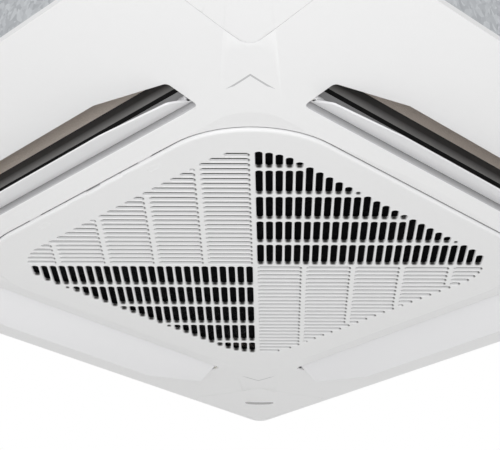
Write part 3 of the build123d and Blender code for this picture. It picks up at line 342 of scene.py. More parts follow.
def circuit_board(name):
    """Green lacquer over copper tracks: thin cell borders as tracks, small round pads, a mottled gloss."""
    made, tree, shader = new_material(name)
    place = node(tree, "Mapping", {"Vector": object_place(tree), "Scale": (1.0, 0.5, 1.0)}).outputs["Vector"]
    cells = node(tree, "TexVoronoi", {"Vector": place, "Scale": 140.0, "Randomness": 0.55},
                 feature="DISTANCE_TO_EDGE")
    track = calc(tree, "LESS_THAN", cells.outputs["Distance"], 0.06)
    pads = node(tree, "TexVoronoi", {"Vector": place, "Scale": 260.0, "Randomness": 0.2})
    pad = calc(tree, "LESS_THAN", pads.outputs["Distance"], 0.22)
    green = use_group(tree, TONE, Colour=screen(28, 92, 56), Amount=0.1, Size=30.0)["Colour"]
    tracked = mix_colour(tree, track, green, screen(52, 124, 74))
    surface(tree, shader, mix_colour(tree, pad, tracked, screen(186, 188, 184)),
            calc(tree, "MULTIPLY_ADD", pad, 0.1, 0.32), calc(tree, "MAXIMUM", track, pad), 0.3,
            distance=0.0003)
    return made


WHITE = screen(232, 232, 233)
FAINT_GLOSS, FAINTER_GLOSS = {"Specular IOR Level": 0.25}, {"Specular IOR Level": 0.1}
MATERIALS = {
    # The grey given to the panel's outlet walls is painted shade.
    "panel_plastic": plastic("Panel plastic", WHITE, 0.42, tone=0.03, wall_shade_colour=screen(187, 187, 189)),
    # The grille's dark second colour is painted shade in its slots' ends and deeper walls.
    "grille_plastic": plastic("Grille plastic", WHITE, 0.40, tone=0.03, painted_shade=screen(58, 57, 56)),
    "vane_plastic": plastic("Vane plastic", screen(229, 229, 231), 0.36, tone=0.03),
    "bush_plastic": plastic("Bush nylon", screen(214, 212, 204), 0.45),
    "filter_frame": plastic("Filter frame plastic", screen(10, 10, 12), 0.5, depth=0.25,
                            constants=FAINT_GLOSS),
    "filter_mesh": plastic("Filter net", screen(5, 5, 8), 0.7, grain=2500.0, depth=0.3,
                           constants=FAINTER_GLOSS),
    # The collar's pale foot is painted light and its dark head painted shade.
    "collar_plastic": shaded_gloss("Glossy dark collar", screen(172, 171, 170), screen(74, 73, 73),
                                   FACE_Z + 0.045, FACE_Z + 0.056),
    # The near black inside the ring of outlets is painted shade on the pan foam.
    "pan_foam": beaded_foam("Drain pan foam", screen(250, 238, 227), screen(232, 219, 208), 300.0,
                            painted_shade_inside=screen(22, 22, 24)),
    "liner_foam": beaded_foam("Liner foam", screen(120, 120, 124), screen(84, 84, 88), 700.0),
    "gasket_foam": plastic("Gasket foam", screen(24, 24, 25), 0.9, grain=1600.0, depth=0.5, tone=0.2),
    "galvanised_steel": zinc_sheet("Galvanised sheet", screen(202, 205, 208), screen(168, 171, 175)),
    "fin_aluminium": finned_aluminium("Fins"),
    "motor_can": worked_metal("Motor can", screen(196, 196, 198), 0.34),
    "copper": worked_metal("Copper tube", screen(196, 122, 88), 0.28, tone=0.3),
    "brass": worked_metal("Turned brass", screen(206, 172, 104), 0.26),
    "zinc_steel": worked_metal("Zinc-plated steel", screen(196, 196, 190), 0.32,
                               lines=(300.0, 300.0, 300.0)),
    "black_rubber": plastic("Black rubber", screen(34, 34, 35), 0.75, grain=1200.0, depth=0.35, tone=0.15),
    "fan_plastic": plastic("Fan plastic", screen(34, 35, 38), 0.48, grain=700.0, depth=0.3, tone=0.12),
    "mouth_plastic": plastic("Bell mouth plastic", screen(24, 24, 26), 0.5, grain=700.0, depth=0.25,
                             tone=0.1),
    "board": circuit_board("Circuit board"),
    "smoked_window": plastic("Smoked window", screen(20, 18, 20), 0.08, grain=60.0, depth=0.02,
                             constants={"Coat Weight": 0.5}),
    "black_plastic": plastic("Black plastic", screen(36, 36, 38), 0.45, depth=0.25, tone=0.1),
    "pump_plastic": plastic("Pump plastic", screen(212, 212, 206), 0.4, depth=0.2, tone=0.06),
}

for name, thing in frame["nodes"].items():
    thing.data.materials.clear()
    thing.data.materials.append(MATERIALS[SLOT_OF[name]])


# ---- small roundings on the CAD nodes

def modify(thing, name, kind, **settings):
    """A modifier at the end of a thing's list, with its settings made."""
    made = thing.modifiers.new(name, kind)
    for key, value in settings.items():
        setattr(made, key, value)


def soften(name, width):
    """Small rounded edges on a CAD node: its loose triangles are welded, then bevelled where they turn."""
    thing = frame["nodes"][name]
    modify(thing, "Weld", "WELD", merge_threshold=0.00001)
    modify(thing, "Edges", "BEVEL", width=width, segments=2, limit_method="ANGLE",
           angle_limit=math.radians(35.0), harden_normals=True, miter_outer="MITER_ARC")


def round_outlet_edges(width=0.0022, edge_d=0.2905, edge_half=0.2092, edge_top=-0.1855, near=0.00002):
    """A wider rounding on the long edge where the panel's face meets the inner wall of each outlet: the
    vertices near the edge's distance, within its half length and below its top, are bevelled after the
    weld and before the small roundings."""
    panel = frame["nodes"]["panel_body"]
    group = panel.vertex_groups.new(name="outlet edges")
    for vertex in panel.data.vertices:
        along, across = sorted((abs(vertex.co.x), abs(vertex.co.y)))
        if abs(across - edge_d) < near and along < edge_half and vertex.co.z < edge_top:
            group.add([vertex.index], 1.0, "REPLACE")
    modify(panel, "Outlet edges", "BEVEL", width=width, segments=4, limit_method="VGROUP",
           vertex_group=group.name, use_clamp_overlap=False)
    panel.modifiers.move(len(panel.modifiers) - 1, 1)


for corner in "abcd":
    soften(f"corner_cover_{corner}", 0.0006)
    soften(f"suspension_bracket_{corner}", 0.0004)
for name in ("panel_body", "panel_bolts", "flare_nuts", "cable_gland"):
    soften(name, 0.0006)
round_outlet_edges()


# ---- surfaces

SHARP_TURN = math.radians(32.0)
MILLIMETRE = 0.001


def faces_of_grid(rows, columns, close_rows=False, close_columns=False):
    """Quads between neighbouring points of a grid; a closed direction joins its last points to its first."""
    row = np.arange(rows if close_rows else rows - 1)[:, None]
    column = np.arange(columns if close_columns else columns - 1)[None, :]
    below, beside = (row + 1) % rows, (column + 1) % columns
    corners = (row * columns + column, row * columns + beside,
               below * columns + beside, below * columns + column)
    return np.stack(np.broadcast_arrays(*corners), -1).reshape(-1, 4)


def new_piece(name, body, slot, parts, stands_for=(), dust_and_painted_shade=None):
    """One object from closed surfaces, each given as its points in millimetres and its faces. Doubled points
    are merged, faces are turned outwards, and edges that turn by more than SHARP_TURN stay crisp. The
    painted shade is an amount for each point of the first surfaces, kept as a point attribute; the points
    after them have none."""
    points, faces, first = [], [], 0
    for part_points, part_faces in parts:
        part_points = np.reshape(part_points, (-1, 3))
        points.append(part_points)
        faces += [[first + corner for corner in face] for face in part_faces]
        first += len(part_points)
    place = np.concatenate(points) * MILLIMETRE + np.array([0.0, 0.0, FACE_Z])
    mesh = bpy.data.meshes.new(name)
    mesh.from_pydata(place.tolist(), [], faces)
    # Painted shade amounts for the points, kept as a point attribute.
    if dust_and_painted_shade is not None:
        amounts = np.zeros(len(place), np.float32)
        amounts[:len(dust_and_painted_shade)] = dust_and_painted_shade
        mesh.attributes.new("dust_and_painted_shade", "FLOAT", "POINT").data.foreach_set("value", amounts)
    shell = bmesh.new()
    shell.from_mesh(mesh)
    bmesh.ops.remove_doubles(shell, verts=shell.verts, dist=1e-6)
    bmesh.ops.recalc_face_normals(shell, faces=shell.faces)
    shell.to_mesh(mesh)
    shell.free()
    mesh.shade_smooth()
    mesh.set_sharp_from_angle(angle=SHARP_TURN)
    thing = bpy.data.objects.new(name, mesh)
    bpy.context.collection.objects.link(thing)
    mesh.materials.append(MATERIALS[slot])
    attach(thing, body)
    if stands_for:
        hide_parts(*stands_for)


def circle(angles):
    """The directions at the given angles."""
    return np.stack([np.cos(angles), np.sin(angles)], -1)


def turn(points, degrees):
    """Points turned anticlockwise about the upright axis."""
    angle = math.radians(degrees)
    cos, sin = math.cos(angle), math.sin(angle)
    x, y = points[..., 0], points[..., 1]
    return np.stack([cos * x - sin * y, sin * x + cos * y, *np.moveaxis(points[..., 2:], -1, 0)], -1)


def square_path(half_x, half_y, radius, corner_steps=8, breaks=((), (), (), ())):
    """A rounded rectangle, anticlockwise from the -Y side. Each station has an anchor, on the rectangle
    through the corners' centres, and a direction outwards: anchor + (radius - inset) * direction is the
    outline moved in by the inset. The breaks are more stations on each side, by their place along it."""
    anchors, directions = [], []
    reach = (half_x - radius, half_y - radius)
    for side in range(4):
        along, across = reach[side % 2], reach[1 - side % 2]
        places = np.unique(np.concatenate([[-along, along], breaks[side]]))
        angles = np.radians(np.linspace(-90, 0, corner_steps + 2)[1:-1])
        local = np.concatenate([np.stack([places, np.full(len(places), -across)], -1),
                                np.tile([along, -across], (corner_steps, 1))])
        out = np.concatenate([np.tile([0.0, -1.0], (len(places), 1)), circle(angles)])
        anchors.append(turn(local, 90 * side))
        directions.append(turn(out, 90 * side))
    return np.concatenate(anchors), np.concatenate(directions)


def corner_path(corners, radii, steps=7):
    """A convex outline with rounded corners, anticlockwise, as the centres of its corners' arcs and the
    directions round them; and the arcs' radii, station by station. A centre lies one radius in from both
    its edges: it is corner - radius * d, where d . n = 1 for the outward normals n of both."""
    corners = np.array(corners, float)
    edges = np.roll(corners, -1, 0) - corners
    out = np.stack([edges[:, 1], -edges[:, 0]], -1) / np.linalg.norm(edges, axis=1)[:, None]
    anchors, directions = [], []
    for index, radius in enumerate(radii):
        before, after = out[index - 1], out[index]
        centre = corners[index] - radius * np.linalg.solve([before, after], [1.0, 1.0])
        start, end = math.atan2(before[1], before[0]), math.atan2(after[1], after[0])
        anchors.append(np.tile(centre, (steps, 1)))
        directions.append(circle(np.linspace(start, start + (end - start) % (2 * math.pi), steps)))
    return (np.concatenate(anchors), np.concatenate(directions)), np.repeat(radii, steps)[:, None]


def swept(path, radius, insets, heights):
    """Points of a profile carried along a path: at every station, anchor + (radius - inset) * direction, at
    the profile's height. Insets and heights are (stations, profile) or (profile,)."""
    anchors, directions = path
    insets, heights = np.atleast_2d(insets), np.atleast_2d(heights)
    flat = anchors[:, None, :] + (radius - insets)[..., None] * directions[:, None, :]
    tall = np.broadcast_to(heights, flat.shape[:2])
    return np.concatenate([flat, tall[..., None]], -1)


def closed_ring(path, radius, profile):
    """A closed profile of (inset, height) points, carried round a closed path."""
    points = swept(path, radius, *np.transpose(profile))
    return points, faces_of_grid(*points.shape[:2], close_rows=True, close_columns=True)


def capped(points):
    """A surface closed round its columns, with a flat face over its first and its last row."""
    rows, columns = points.shape[:2]
    faces = faces_of_grid(rows, columns, close_columns=True).tolist()
    last = (rows - 1) * columns
    return points, faces + [list(range(columns))[::-1], list(range(last, last + columns))]


def stacked(path, radius, insets, heights):
    """A capped body from the insets and heights of its outline's rings, bottom first."""
    return capped(np.swapaxes(swept(path, radius, insets, heights), 0, 1))


def softened_block(x0, x1, y0, y1, low, high, corner=1.0, edge=0.4):
    """A block with rounded upright corners and small chamfers at its top and bottom."""
    path = square_path((x1 - x0) / 2, (y1 - y0) / 2, corner, corner_steps=3)
    points, faces = stacked(path, corner, (edge, 0, 0, edge), (low, low + edge, high - edge, high))
    return points + np.array([(x0 + x1) / 2, (y0 + y1) / 2, 0.0]), faces


def turned_body(rings, steps=24):
    """A body turned about the upright axis from (radius, height) rings, bottom first."""
    radii, heights = np.transpose(rings)
    path = np.zeros((steps, 2)), circle(np.radians(np.arange(steps) * 360 / steps))
    return stacked(path, 0.0, -radii, heights)


def moved(part, origin, x_axis=(1, 0, 0), y_axis=(0, 1, 0), z_axis=(0, 0, 1)):
    """A part whose own axes are laid along the given ones, with its own origin at the given point."""
    points, faces = part
    return points @ np.array([x_axis, y_axis, z_axis], float) + np.array(origin, float), faces


def all_round(parts):
    """Every part, and the same turned to the other three sides."""
    return [(turn(points, 90 * side), faces) for points, faces in parts for side in range(4)]


def plane_between(outer, holes):
    """Triangles between a convex outline and the holes in it: a constrained Delaunay triangulation, without
    the triangles whose three corners lie on one hole."""
    points = np.concatenate([outer, holes.reshape(-1, 2)])
    owner = np.concatenate([np.full(len(outer), -1), np.repeat(np.arange(len(holes)), holes.shape[1])])
    loop, around = np.arange(len(outer)), np.arange(holes.shape[1])
    hole_edges = np.stack([around, np.roll(around, -1)], -1)
    starts = len(outer) + holes.shape[1] * np.arange(len(holes))
    edges = np.concatenate([np.stack([loop, np.roll(loop, -1)], -1),
                            (starts[:, None, None] + hole_edges).reshape(-1, 2)])
    whole_hull, least = 0, 1e-5
    found = delaunay_2d_cdt([Vector(point) for point in points.tolist()], edges.tolist(), [], whole_hull,
                            least)
    triangles = np.array([[found[3][corner][0] for corner in face] for face in found[2]])
    first, second, third = owner[triangles].T
    return triangles[~((first == second) & (second == third) & (first >= 0))]


# ---- intake grille

GRILLE_HALF, GRILLE_CORNER, GRILLE_THICK = 261.5, 114.5, 3.97
GRILLE_EDGE, GRILLE_BORDER = 3.6, 29.5
SLOT_PITCH, SLOT_RADIUS, BAND, BAND_RIB = 11.0, 4.0, 60.0, 6.0
SLOT_AREA, SLOT_AREA_CORNER, LEAST_SLOT, SLOT_STEPS = 216.5, 68.0, 4.5, 9
NOTCH_AT, NOTCH_LENGTH, NOTCH_DEPTH = 9.5, 25.0, 1.2
DOT_SPACING, DOT_LENGTH, DOT_DEPTH = 48.0, 3.0, 0.6
HINGE_AT, HINGE_HALF, HINGE_INSET, HINGE_H, HINGE_ROOM = 150.0, 12.0, 3.9, 3.5, 2.9
LATCH_AT, LATCH_HALF = 97.0, 20.4

# The rings of a slot's wall, face first: how far out they lie, their height, and the share of painted shade.
SLOT_RINGS = np.array([(1.36, 0.0, 0.0), (1.3, 0.0, 0.0), (0.65, 0.214, 0.35), (0.174, 0.8, 0.75),
                       (0.0, 1.6, 1.0), (0.0, 3.9, 1.0), (0.0, GRILLE_THICK, 0.0)])


def slot_list():
    """Middle, direction, half length and radius of every slot: they run along the square's diagonals, in
    bands, in four quarters whose directions alternate, up to a rounded square."""
    core = (SLOT_AREA - SLOT_AREA_CORNER) * math.sqrt(2)
    bend = SLOT_AREA_CORNER / math.sqrt(2)
    slots = []
    for index in range(math.ceil(SLOT_AREA * math.sqrt(2) / SLOT_PITCH)):
        across = BAND_RIB / 2 + SLOT_RADIUS + SLOT_PITCH * index
        if across < bend:
            reach = core + math.sqrt(SLOT_AREA_CORNER**2 - across**2)
        elif across < core + bend:
            reach = SLOT_AREA * math.sqrt(2) - across
        else:
            reach = math.sqrt(max(SLOT_AREA_CORNER**2 - (across - core)**2, 0))
        start = BAND_RIB / 2
        while reach - start >= LEAST_SLOT:
            full, following = start + BAND - BAND_RIB, start + BAND
            end = full if reach - following >= LEAST_SLOT else reach
            half = (end - start) / 2
            middle, along = np.array([(start + end) / 2, across]), np.array([1.0, 0.0])
            for spin in (45, 135, 225, 315):
                slots.append((*turn(middle, spin), *turn(along, spin), half, min(SLOT_RADIUS, half)))
            start = following
    return np.array(slots)


def slot_angles():
    """Angles of the points of a slot's outline: half of them round its forward end, half round the other."""
    angles = np.radians(-90 + 180 * (np.arange(SLOT_STEPS) + 0.5) / SLOT_STEPS)
    return np.concatenate([angles, angles + math.pi])


def slot_outlines(slots, offset):
    """Outlines of the slots, moved out by the offset: two half circles of points each, (slot, point, 2)."""
    middle, along = slots[:, None, 0:2], slots[:, None, 2:4]
    half, radius = slots[:, 4, None], slots[:, 5, None]
    angle = slot_angles()[None, :]
    shift = np.where(np.arange(2 * SLOT_STEPS) < SLOT_STEPS, 1.0, -1.0) * (half - radius)
    forward = shift + (radius + offset) * np.cos(angle)
    sideways = (radius + offset) * np.sin(angle)
    normal = np.stack([-along[..., 1], along[..., 0]], -1)
    return middle + forward[..., None] * along + sideways[..., None] * normal


def edge_stations(beside=0.1):
    """The grille's rounded square, with stations close together where its edge is notched or cut away."""
    front = []
    for place, half in ((NOTCH_AT, NOTCH_LENGTH / 2), (NOTCH_AT - DOT_SPACING, DOT_LENGTH / 2),
                        (NOTCH_AT + DOT_SPACING, DOT_LENGTH / 2), (-LATCH_AT, LATCH_HALF),
                        (LATCH_AT, LATCH_HALF)):
        front += [place - half - beside, place - half + beside, place + half - beside, place + half + beside]
    step = HINGE_AT - HINGE_HALF
    back = [-step - beside, -step + beside, step - beside, step + beside]
    return square_path(GRILLE_HALF, GRILLE_HALF, GRILLE_CORNER, corner_steps=44,
                       breaks=(front, (), back, ()))


def grille_border(lead=0.06, ledge_share=0.35, fade=20.0):
    """The border's points, swept along a rounded square: the flat rim of the face, a quarter round of radius
    GRILLE_EDGE, and the back. A notch and two dots are pressed into the front edge and fade inwards, and
    the back is cut away round each hinge pin, HINGE_H - sqrt(HINGE_ROOM^2 - (inset - HINGE_INSET)^2),
    and down to a ledge outside it."""
    path = edge_stations()
    edge = path[0] + GRILLE_CORNER * path[1]
    at_front = edge[:, 1] < -GRILLE_HALF + 0.5
    from_notch = np.abs(edge[:, 0] - NOTCH_AT)
    notch = at_front & (from_notch < NOTCH_LENGTH / 2)
    dots = at_front & (np.abs(from_notch - DOT_SPACING) < DOT_LENGTH / 2)
    depth = np.where(notch, NOTCH_DEPTH, np.where(dots, DOT_DEPTH, 0.0))
    at_hinge = (edge[:, 1] > 0) & (np.abs(np.abs(edge[:, 0]) - HINGE_AT) < HINGE_HALF)
    arc = np.radians(np.linspace(0, 90, 7))
    in_front = len(arc) + 2
    room_end = HINGE_INSET + HINGE_ROOM
    across_room = HINGE_INSET + np.array([-HINGE_ROOM, -2.0, -1.0, 0.0, 1.0, 2.0, HINGE_ROOM])
    insets = np.concatenate([[GRILLE_BORDER, GRILLE_EDGE + lead], GRILLE_EDGE * (1 - np.sin(arc)),
                             [0.0, 0.1], across_room, [room_end + 0.05, GRILLE_BORDER]])
    heights = np.full(len(insets), GRILLE_THICK)
    heights[:in_front + 1] = [0.0, 0.0, *GRILLE_EDGE * (1 - np.cos(arc)), GRILLE_THICK - 0.1]
    ledge = HINGE_H - ledge_share * HINGE_ROOM
    room = HINGE_H - np.sqrt(np.maximum(HINGE_ROOM**2 - (insets - HINGE_INSET)**2, 0))
    room = np.where(insets < room_end + 0.02, np.minimum(room, ledge), GRILLE_THICK)
    room[:in_front] = ledge
    tall = np.where(at_hinge[:, None], np.minimum(heights, room), heights)
    wide = insets + depth[:, None] * np.maximum(1 - insets / fade, 0)
    return swept(path, GRILLE_CORNER, wide, tall)


def grille_plate(border):
    """The face plate: its border, flat fields round the slots in front and behind, and for each slot a wall
    that opens towards the face as a quarter ellipse."""
    stations, profile = border.shape[:2]
    slots = slot_list()
    rings = np.stack([slot_outlines(slots, offset) for offset in SLOT_RINGS[:, 0]], 1)
    level = np.broadcast_to(SLOT_RINGS[:, 1, None, None], (*rings.shape[:3], 1))
    walls = np.concatenate([rings, level], -1)
    wall_faces = faces_of_grid(*walls.shape[1:3], close_columns=True)
    starts = walls.shape[1] * walls.shape[2] * np.arange(len(slots))
    parts = [(border, faces_of_grid(stations, profile, close_rows=True)),
             (walls, (starts[:, None, None] + wall_faces).reshape(-1, 4))]
    for side in (0, -1):
        outer, mouths = border[:, side], walls[:, side]
        points = np.concatenate([outer, mouths.reshape(-1, 3)])
        parts.append((points, plane_between(outer[:, :2], mouths[..., :2])))
    return parts


def painted_slot_shade(border_points):
    """How much painted shade each point of the border and of the slots' walls gets: nothing on the border;
    on the walls, more away from the face and at each slot's end towards +Y, where it rises with
    |cos(angle)|."""
    at_end = np.clip((np.abs(np.cos(slot_angles())) - 0.45) / 0.4, 0, 1)
    forward = slot_list()[:, 3] > 0
    chosen = (np.arange(2 * SLOT_STEPS) < SLOT_STEPS)[None, :] == forward[:, None]
    walls = SLOT_RINGS[None, :, 2, None] * (at_end * chosen)[:, None, :]
    return np.concatenate([np.zeros(border_points), walls.ravel()])


def grille_rim(near=6.5, far=9.0, foot=3.5, top=12.0, soft=0.4):
    """The upright rim behind the plate, in lengths between the latches' and the hinges' gaps."""
    anchors, directions = edge_stations()
    edge = anchors + GRILLE_CORNER * directions
    latch_gap = (edge[:, 1] < 0) & (np.abs(np.abs(edge[:, 0]) - LATCH_AT) < LATCH_HALF)
    hinge_gap = (edge[:, 1] > 0) & (np.abs(np.abs(edge[:, 0]) - HINGE_AT) < HINGE_HALF)
    kept = ~(latch_gap | hinge_gap)
    order = np.roll(np.arange(len(kept)), -int(np.argmax(~kept)))
    runs = np.split(order, np.flatnonzero(np.diff(kept[order].astype(int))) + 1)
    insets = (near, near, near + soft, far - soft, far, far)
    heights = (foot, top - soft, top, top, top - soft, foot)
    return [capped(swept((anchors[run], directions[run]), GRILLE_CORNER, insets, heights))
            for run in runs if kept[run[0]]]


def press_marks(half=11.0, radius=4.5, at=246.75):
    """Two low beads in the shape of a stadium, on the face over the latches."""
    profile = [(0.0, 0.15), (0.1, -0.1), (0.5, -0.3), (1.0, -0.3), (1.4, -0.1), (1.5, 0.15)]
    bead = closed_ring(square_path(half, radius, radius), radius, profile)
    return [moved(bead, (x, -at, 0.0)) for x in (-LATCH_AT, LATCH_AT)]


def hinge_lugs(lug_half=2.5, lug_low=3.0, lug_top=6.6, pin_radius=1.2, pin_half=13.0, soft=0.3):
    """The grille's hinge pins, each between two lugs on the back of the plate."""
    parts = []
    y = GRILLE_HALF - HINGE_INSET
    pin = turned_body([(pin_radius - soft, -pin_half), (pin_radius, soft - pin_half),
                       (pin_radius, pin_half - soft), (pin_radius - soft, pin_half)], steps=16)
    for x in (-HINGE_AT, HINGE_AT):
        for side in (-1, 1):
            lug = x + side * (HINGE_HALF + lug_half)
            parts.append(softened_block(lug - lug_half, lug + lug_half, y - 3.0, y + pin_radius,
                                        lug_low, lug_top, corner=0.8, edge=soft))
        parts.append(moved(pin, (x, y, HINGE_H), (0, 1, 0), (0, 0, 1), (1, 0, 0)))
    return parts


border = grille_border()
new_piece("grille_moulding", "grille", "grille_plastic",
          [*grille_plate(border), *grille_rim(), *press_marks(), *hinge_lugs()],
          stands_for=("intake_grille",), dust_and_painted_shade=painted_slot_shade(border.size // 3))


# ---- filter net

def filter_net(half=219.5, corner=71.0, pitch=1.6, strand=0.36, low=5.3, sunk=0.04, least=4.0):
    """Straight strands in two layers that cross, the second sunk a little into the first, each a square bar
    as long as the rounded square is there."""
    count = int(half / pitch)
    offset = np.arange(-count, count + 1) * pitch
    beyond = np.maximum(np.abs(offset) - (half - corner), 0)
    reach = half - corner + np.sqrt(np.maximum(corner**2 - beyond**2, 0))
    offset, reach = offset[reach > least], reach[reach > least]
    x = np.stack([-reach, reach], -1)[:, :, None] * np.ones(4)
    y = np.broadcast_to(offset[:, None, None] + strand / 2 * np.array([-1.0, 1.0, 1.0, -1.0]), x.shape)
    bar = np.array([[0, 1, 5, 4], [1, 2, 6, 5], [2, 3, 7, 6], [3, 0, 4, 7], [3, 2, 1, 0], [4, 5, 6, 7]])
    faces = (8 * np.arange(len(offset))[:, None, None] + bar).reshape(-1, 4).tolist()
    layers = []
    for foot, flat in ((low, (x, y)), (low + strand - sunk, (y, x))):
        z = np.broadcast_to(foot + strand * np.array([0.0, 0.0, 1.0, 1.0]), x.shape)
        layers.append((np.stack([*flat, z], -1), faces))
    return layers


new_piece("filter_net", "filter", "filter_mesh", filter_net(), stands_for=("filter_mesh",))


# ---- vanes

SIDES = ("right", "back", "left", "front")
OUTLET_IN, OUTLET_OUT, OUTLET_END, OUTLET_HALF, STRAIGHT_HALF = 290.5, 355.0, 333.4, 215.0, 125.0
VANE_IN, VANE_OUT, VANE_TIP, VANE_HALF, VANE_LOW = -7.5, 52.0, 31.6, 210.0, -4.0
PIVOT_D, PIVOT_H, REST_TILT = 301.0, 15.0, math.radians(29)


def outlet_plan(inner, tip, outer, half):
    """The plan of an outlet or a vane: the inner side is straight and full length, and the outer one turns
    in at both its ends."""
    return [(inner, -half), (tip, -half), (outer, -STRAIGHT_HALF),
            (outer, STRAIGHT_HALF), (tip, half), (inner, half)]


def vane_blade(thick=3.0, thinned=1.2, inner_round=1.5, rim_round=0.35, top_soft=0.3, inner_corner=2.0,
               corner=5.0):
    """A flat blade that thins evenly from its inner to its outer edge. Its lower edge is a quarter circle,
    wide along the inner side and small all round the rest."""
    path, radius = corner_path(outlet_plan(VANE_IN, VANE_TIP, VANE_OUT, VANE_HALF),
                               (inner_corner, corner, corner, corner, corner, inner_corner))
    anchors, directions = path
    edge_x = anchors[:, 0] + radius[:, 0] * directions[:, 0]
    top = (VANE_LOW + thick - thinned * (edge_x - VANE_IN) / (VANE_OUT - VANE_IN))[:, None]
    round_low = np.where(directions[:, 0] < -0.7, inner_round, rim_round)[:, None]
    arc = np.radians(np.linspace(0, 90, 6))
    insets = [round_low * (1 - np.sin(arc)), np.zeros(top.shape), np.full(top.shape, top_soft)]
    heights = [VANE_LOW + round_low * (1 - np.cos(arc)), top - top_soft, top]
    return stacked(path, radius, np.concatenate(insets, 1), np.concatenate(heights, 1))


def vane_hubs(hub_r=3.9, hub_long=10.0, pin_r=2.0, pin_long=8.5, hole_r=2.05, hole_deep=9.0, soft=0.4):
    """The hub with its pin at one end, and the hub with a socket for the motor's shaft at the other."""
    end = VANE_HALF
    pinned = turned_body([(pin_r - 0.3, -end - pin_long), (pin_r, 0.3 - end - pin_long), (pin_r, -end),
                          (hub_r - soft, -end), (hub_r, soft - end), (hub_r, hub_long - soft - end),
                          (hub_r - soft, hub_long - end)])
    socket = turned_body([(hub_r - soft, end - hub_long), (hub_r, end - hub_long + soft),
                          (hub_r, end - soft), (hub_r - soft, end), (hole_r, end),
                          (hole_r, end - hole_deep)])
    return [moved(part, (0, 0, 0), (0, 0, 1), (1, 0, 0), (0, 1, 0)) for part in (pinned, socket)]


def vane(side, rib_half=1.0, rib_low=-1.6, rib_top=2.9):
    """Blade, stiffening rib and hubs, tilted to the vane's rest and turned to its side."""
    rib_end = VANE_HALF - 1.0
    rib = softened_block(-rib_half, rib_half, -rib_end, rib_end, rib_low, rib_top, corner=0.5, edge=0.3)
    cos, sin = math.cos(REST_TILT), math.sin(REST_TILT)
    parts = []
    for part in (vane_blade(), rib, *vane_hubs()):
        points, faces = moved(part, (PIVOT_D, 0, PIVOT_H), (cos, 0, -sin), (0, 1, 0), (sin, 0, cos))
        parts.append((turn(points, 90 * SIDES.index(side)), faces))
    return parts


for side in SIDES:
    new_piece(f"vane_{side}_moulding", f"vane_{side}", "vane_plastic", vane(side),
              stands_for=(f"louver_{side}",))


# ---- outlet gaskets and collars

OUTLET_PATH = corner_path(outlet_plan(OUTLET_IN, OUTLET_END, OUTLET_OUT, OUTLET_HALF), (6.0,) * 6)
DUCT_TOP, GASKET_TOP = 40.5, 45.0


def outlet_gasket(wide=8.0, lip=0.8, lip_low=38.9, soft=0.4):
    """A flat ring on the duct's top, with a soft lip that folds down over the duct's inner edge."""
    profile = [(0.2, lip_low), (0.6, lip_low), (lip, lip_low + 0.3), (lip, GASKET_TOP - soft),
               (0.5, GASKET_TOP), (soft - wide, GASKET_TOP), (-wide, GASKET_TOP - soft),
               (-wide, DUCT_TOP + soft), (soft - wide, DUCT_TOP), (0.0, DUCT_TOP), (0.0, lip_low + 0.2)]
    return closed_ring(*OUTLET_PATH, profile)


def outlet_collar(over=4.0, set_back=3.0, rise=18.0, top=64.5, wide=5.0):
    """A ring round the outlet whose inner face curves inwards on its way up, as a quarter of an ellipse:
    inset over * sin(a) - set_back at height rise * (1 - cos(a)) above the gasket."""
    arc = np.radians(np.linspace(10, 90, 12))
    curve = np.stack([over * np.sin(arc) - set_back, GASKET_TOP + rise * (1 - np.cos(arc))], -1)
    behind = [(1.0, top), (-1.0, top), (-3.2, 55.0), (-wide, 48.0), (-wide, GASKET_TOP),
              (-set_back, GASKET_TOP)]
    return closed_ring(*OUTLET_PATH, [*curve, *behind])


new_piece("outlet_gasket_rings", "root", "gasket_foam", all_round([outlet_gasket()]),
          stands_for=("panel_seal",))
new_piece("outlet_collar_rings", "root", "collar_plastic", all_round([outlet_collar()]),
          stands_for=("outlet_collars",))


# ---- casing trim

CASING_HALF, CHAMFER_AT, CASING_TOP, RIM_LOW, SEAM_LOW = 420.0, 270.0, 309.0, 296.0, 66.0
CHAMFER_RADIAL = (CASING_HALF + CHAMFER_AT) / math.sqrt(2)
SEAM_AT, RIM_OUT, SEAM_OUT = CHAMFER_AT - 10, 1.2, 0.9


def pan_head(radius=4.0, high=2.2, steps=32, slit_half=0.45, slit_reach=2.2, slit_deep=1.1):
    """A screw's head: a dome, high * sqrt(1 - 0.6 (r / radius)^2), with a crossed recess sunk in it."""
    shares = np.array([1.0, 0.92, 0.75, 0.6, 0.54, 0.45, 0.35, 0.25, 0.1])[:, None]
    angle = np.radians(np.arange(steps) * 360 / steps)[None, :]
    x, y = radius * shares * np.cos(angle), radius * shares * np.sin(angle)
    in_cross = (np.minimum(np.abs(x), np.abs(y)) < slit_half) & (np.hypot(x, y) < slit_reach)
    dome = np.stack([x, y, high * np.sqrt(1 - 0.6 * shares**2) - slit_deep * in_cross], -1)
    foot = np.stack([x[0], y[0], np.full(steps, -0.3)], -1)
    return capped(np.concatenate([foot[None], dome]))


def on_side(part, along, height, out=CASING_HALF):
    """A part drawn on the ground, stood on the casing's +X side."""
    return moved(part, (out, along, height), (0, 1, 0), (0, 0, 1), (1, 0, 0))


def casing_rim(soft=0.4):
    """The roof sheet's edge, folded down over the eight walls."""
    side = np.array([[CASING_HALF, -CHAMFER_AT], [CASING_HALF, CHAMFER_AT]])
    path, radius = corner_path(np.concatenate([turn(side, 90 * spin) for spin in range(4)]), (2.5,) * 8)
    profile = [(0.5, RIM_LOW), (soft - RIM_OUT, RIM_LOW), (-RIM_OUT, RIM_LOW + soft),
               (-RIM_OUT, CASING_TOP - 0.7), (-0.7, CASING_TOP + 0.1), (0.3, CASING_TOP + soft),
               (7.0, CASING_TOP + soft), (7.0, CASING_TOP - 0.6), (0.5, CASING_TOP - 0.8)]
    return closed_ring(path, radius, profile)


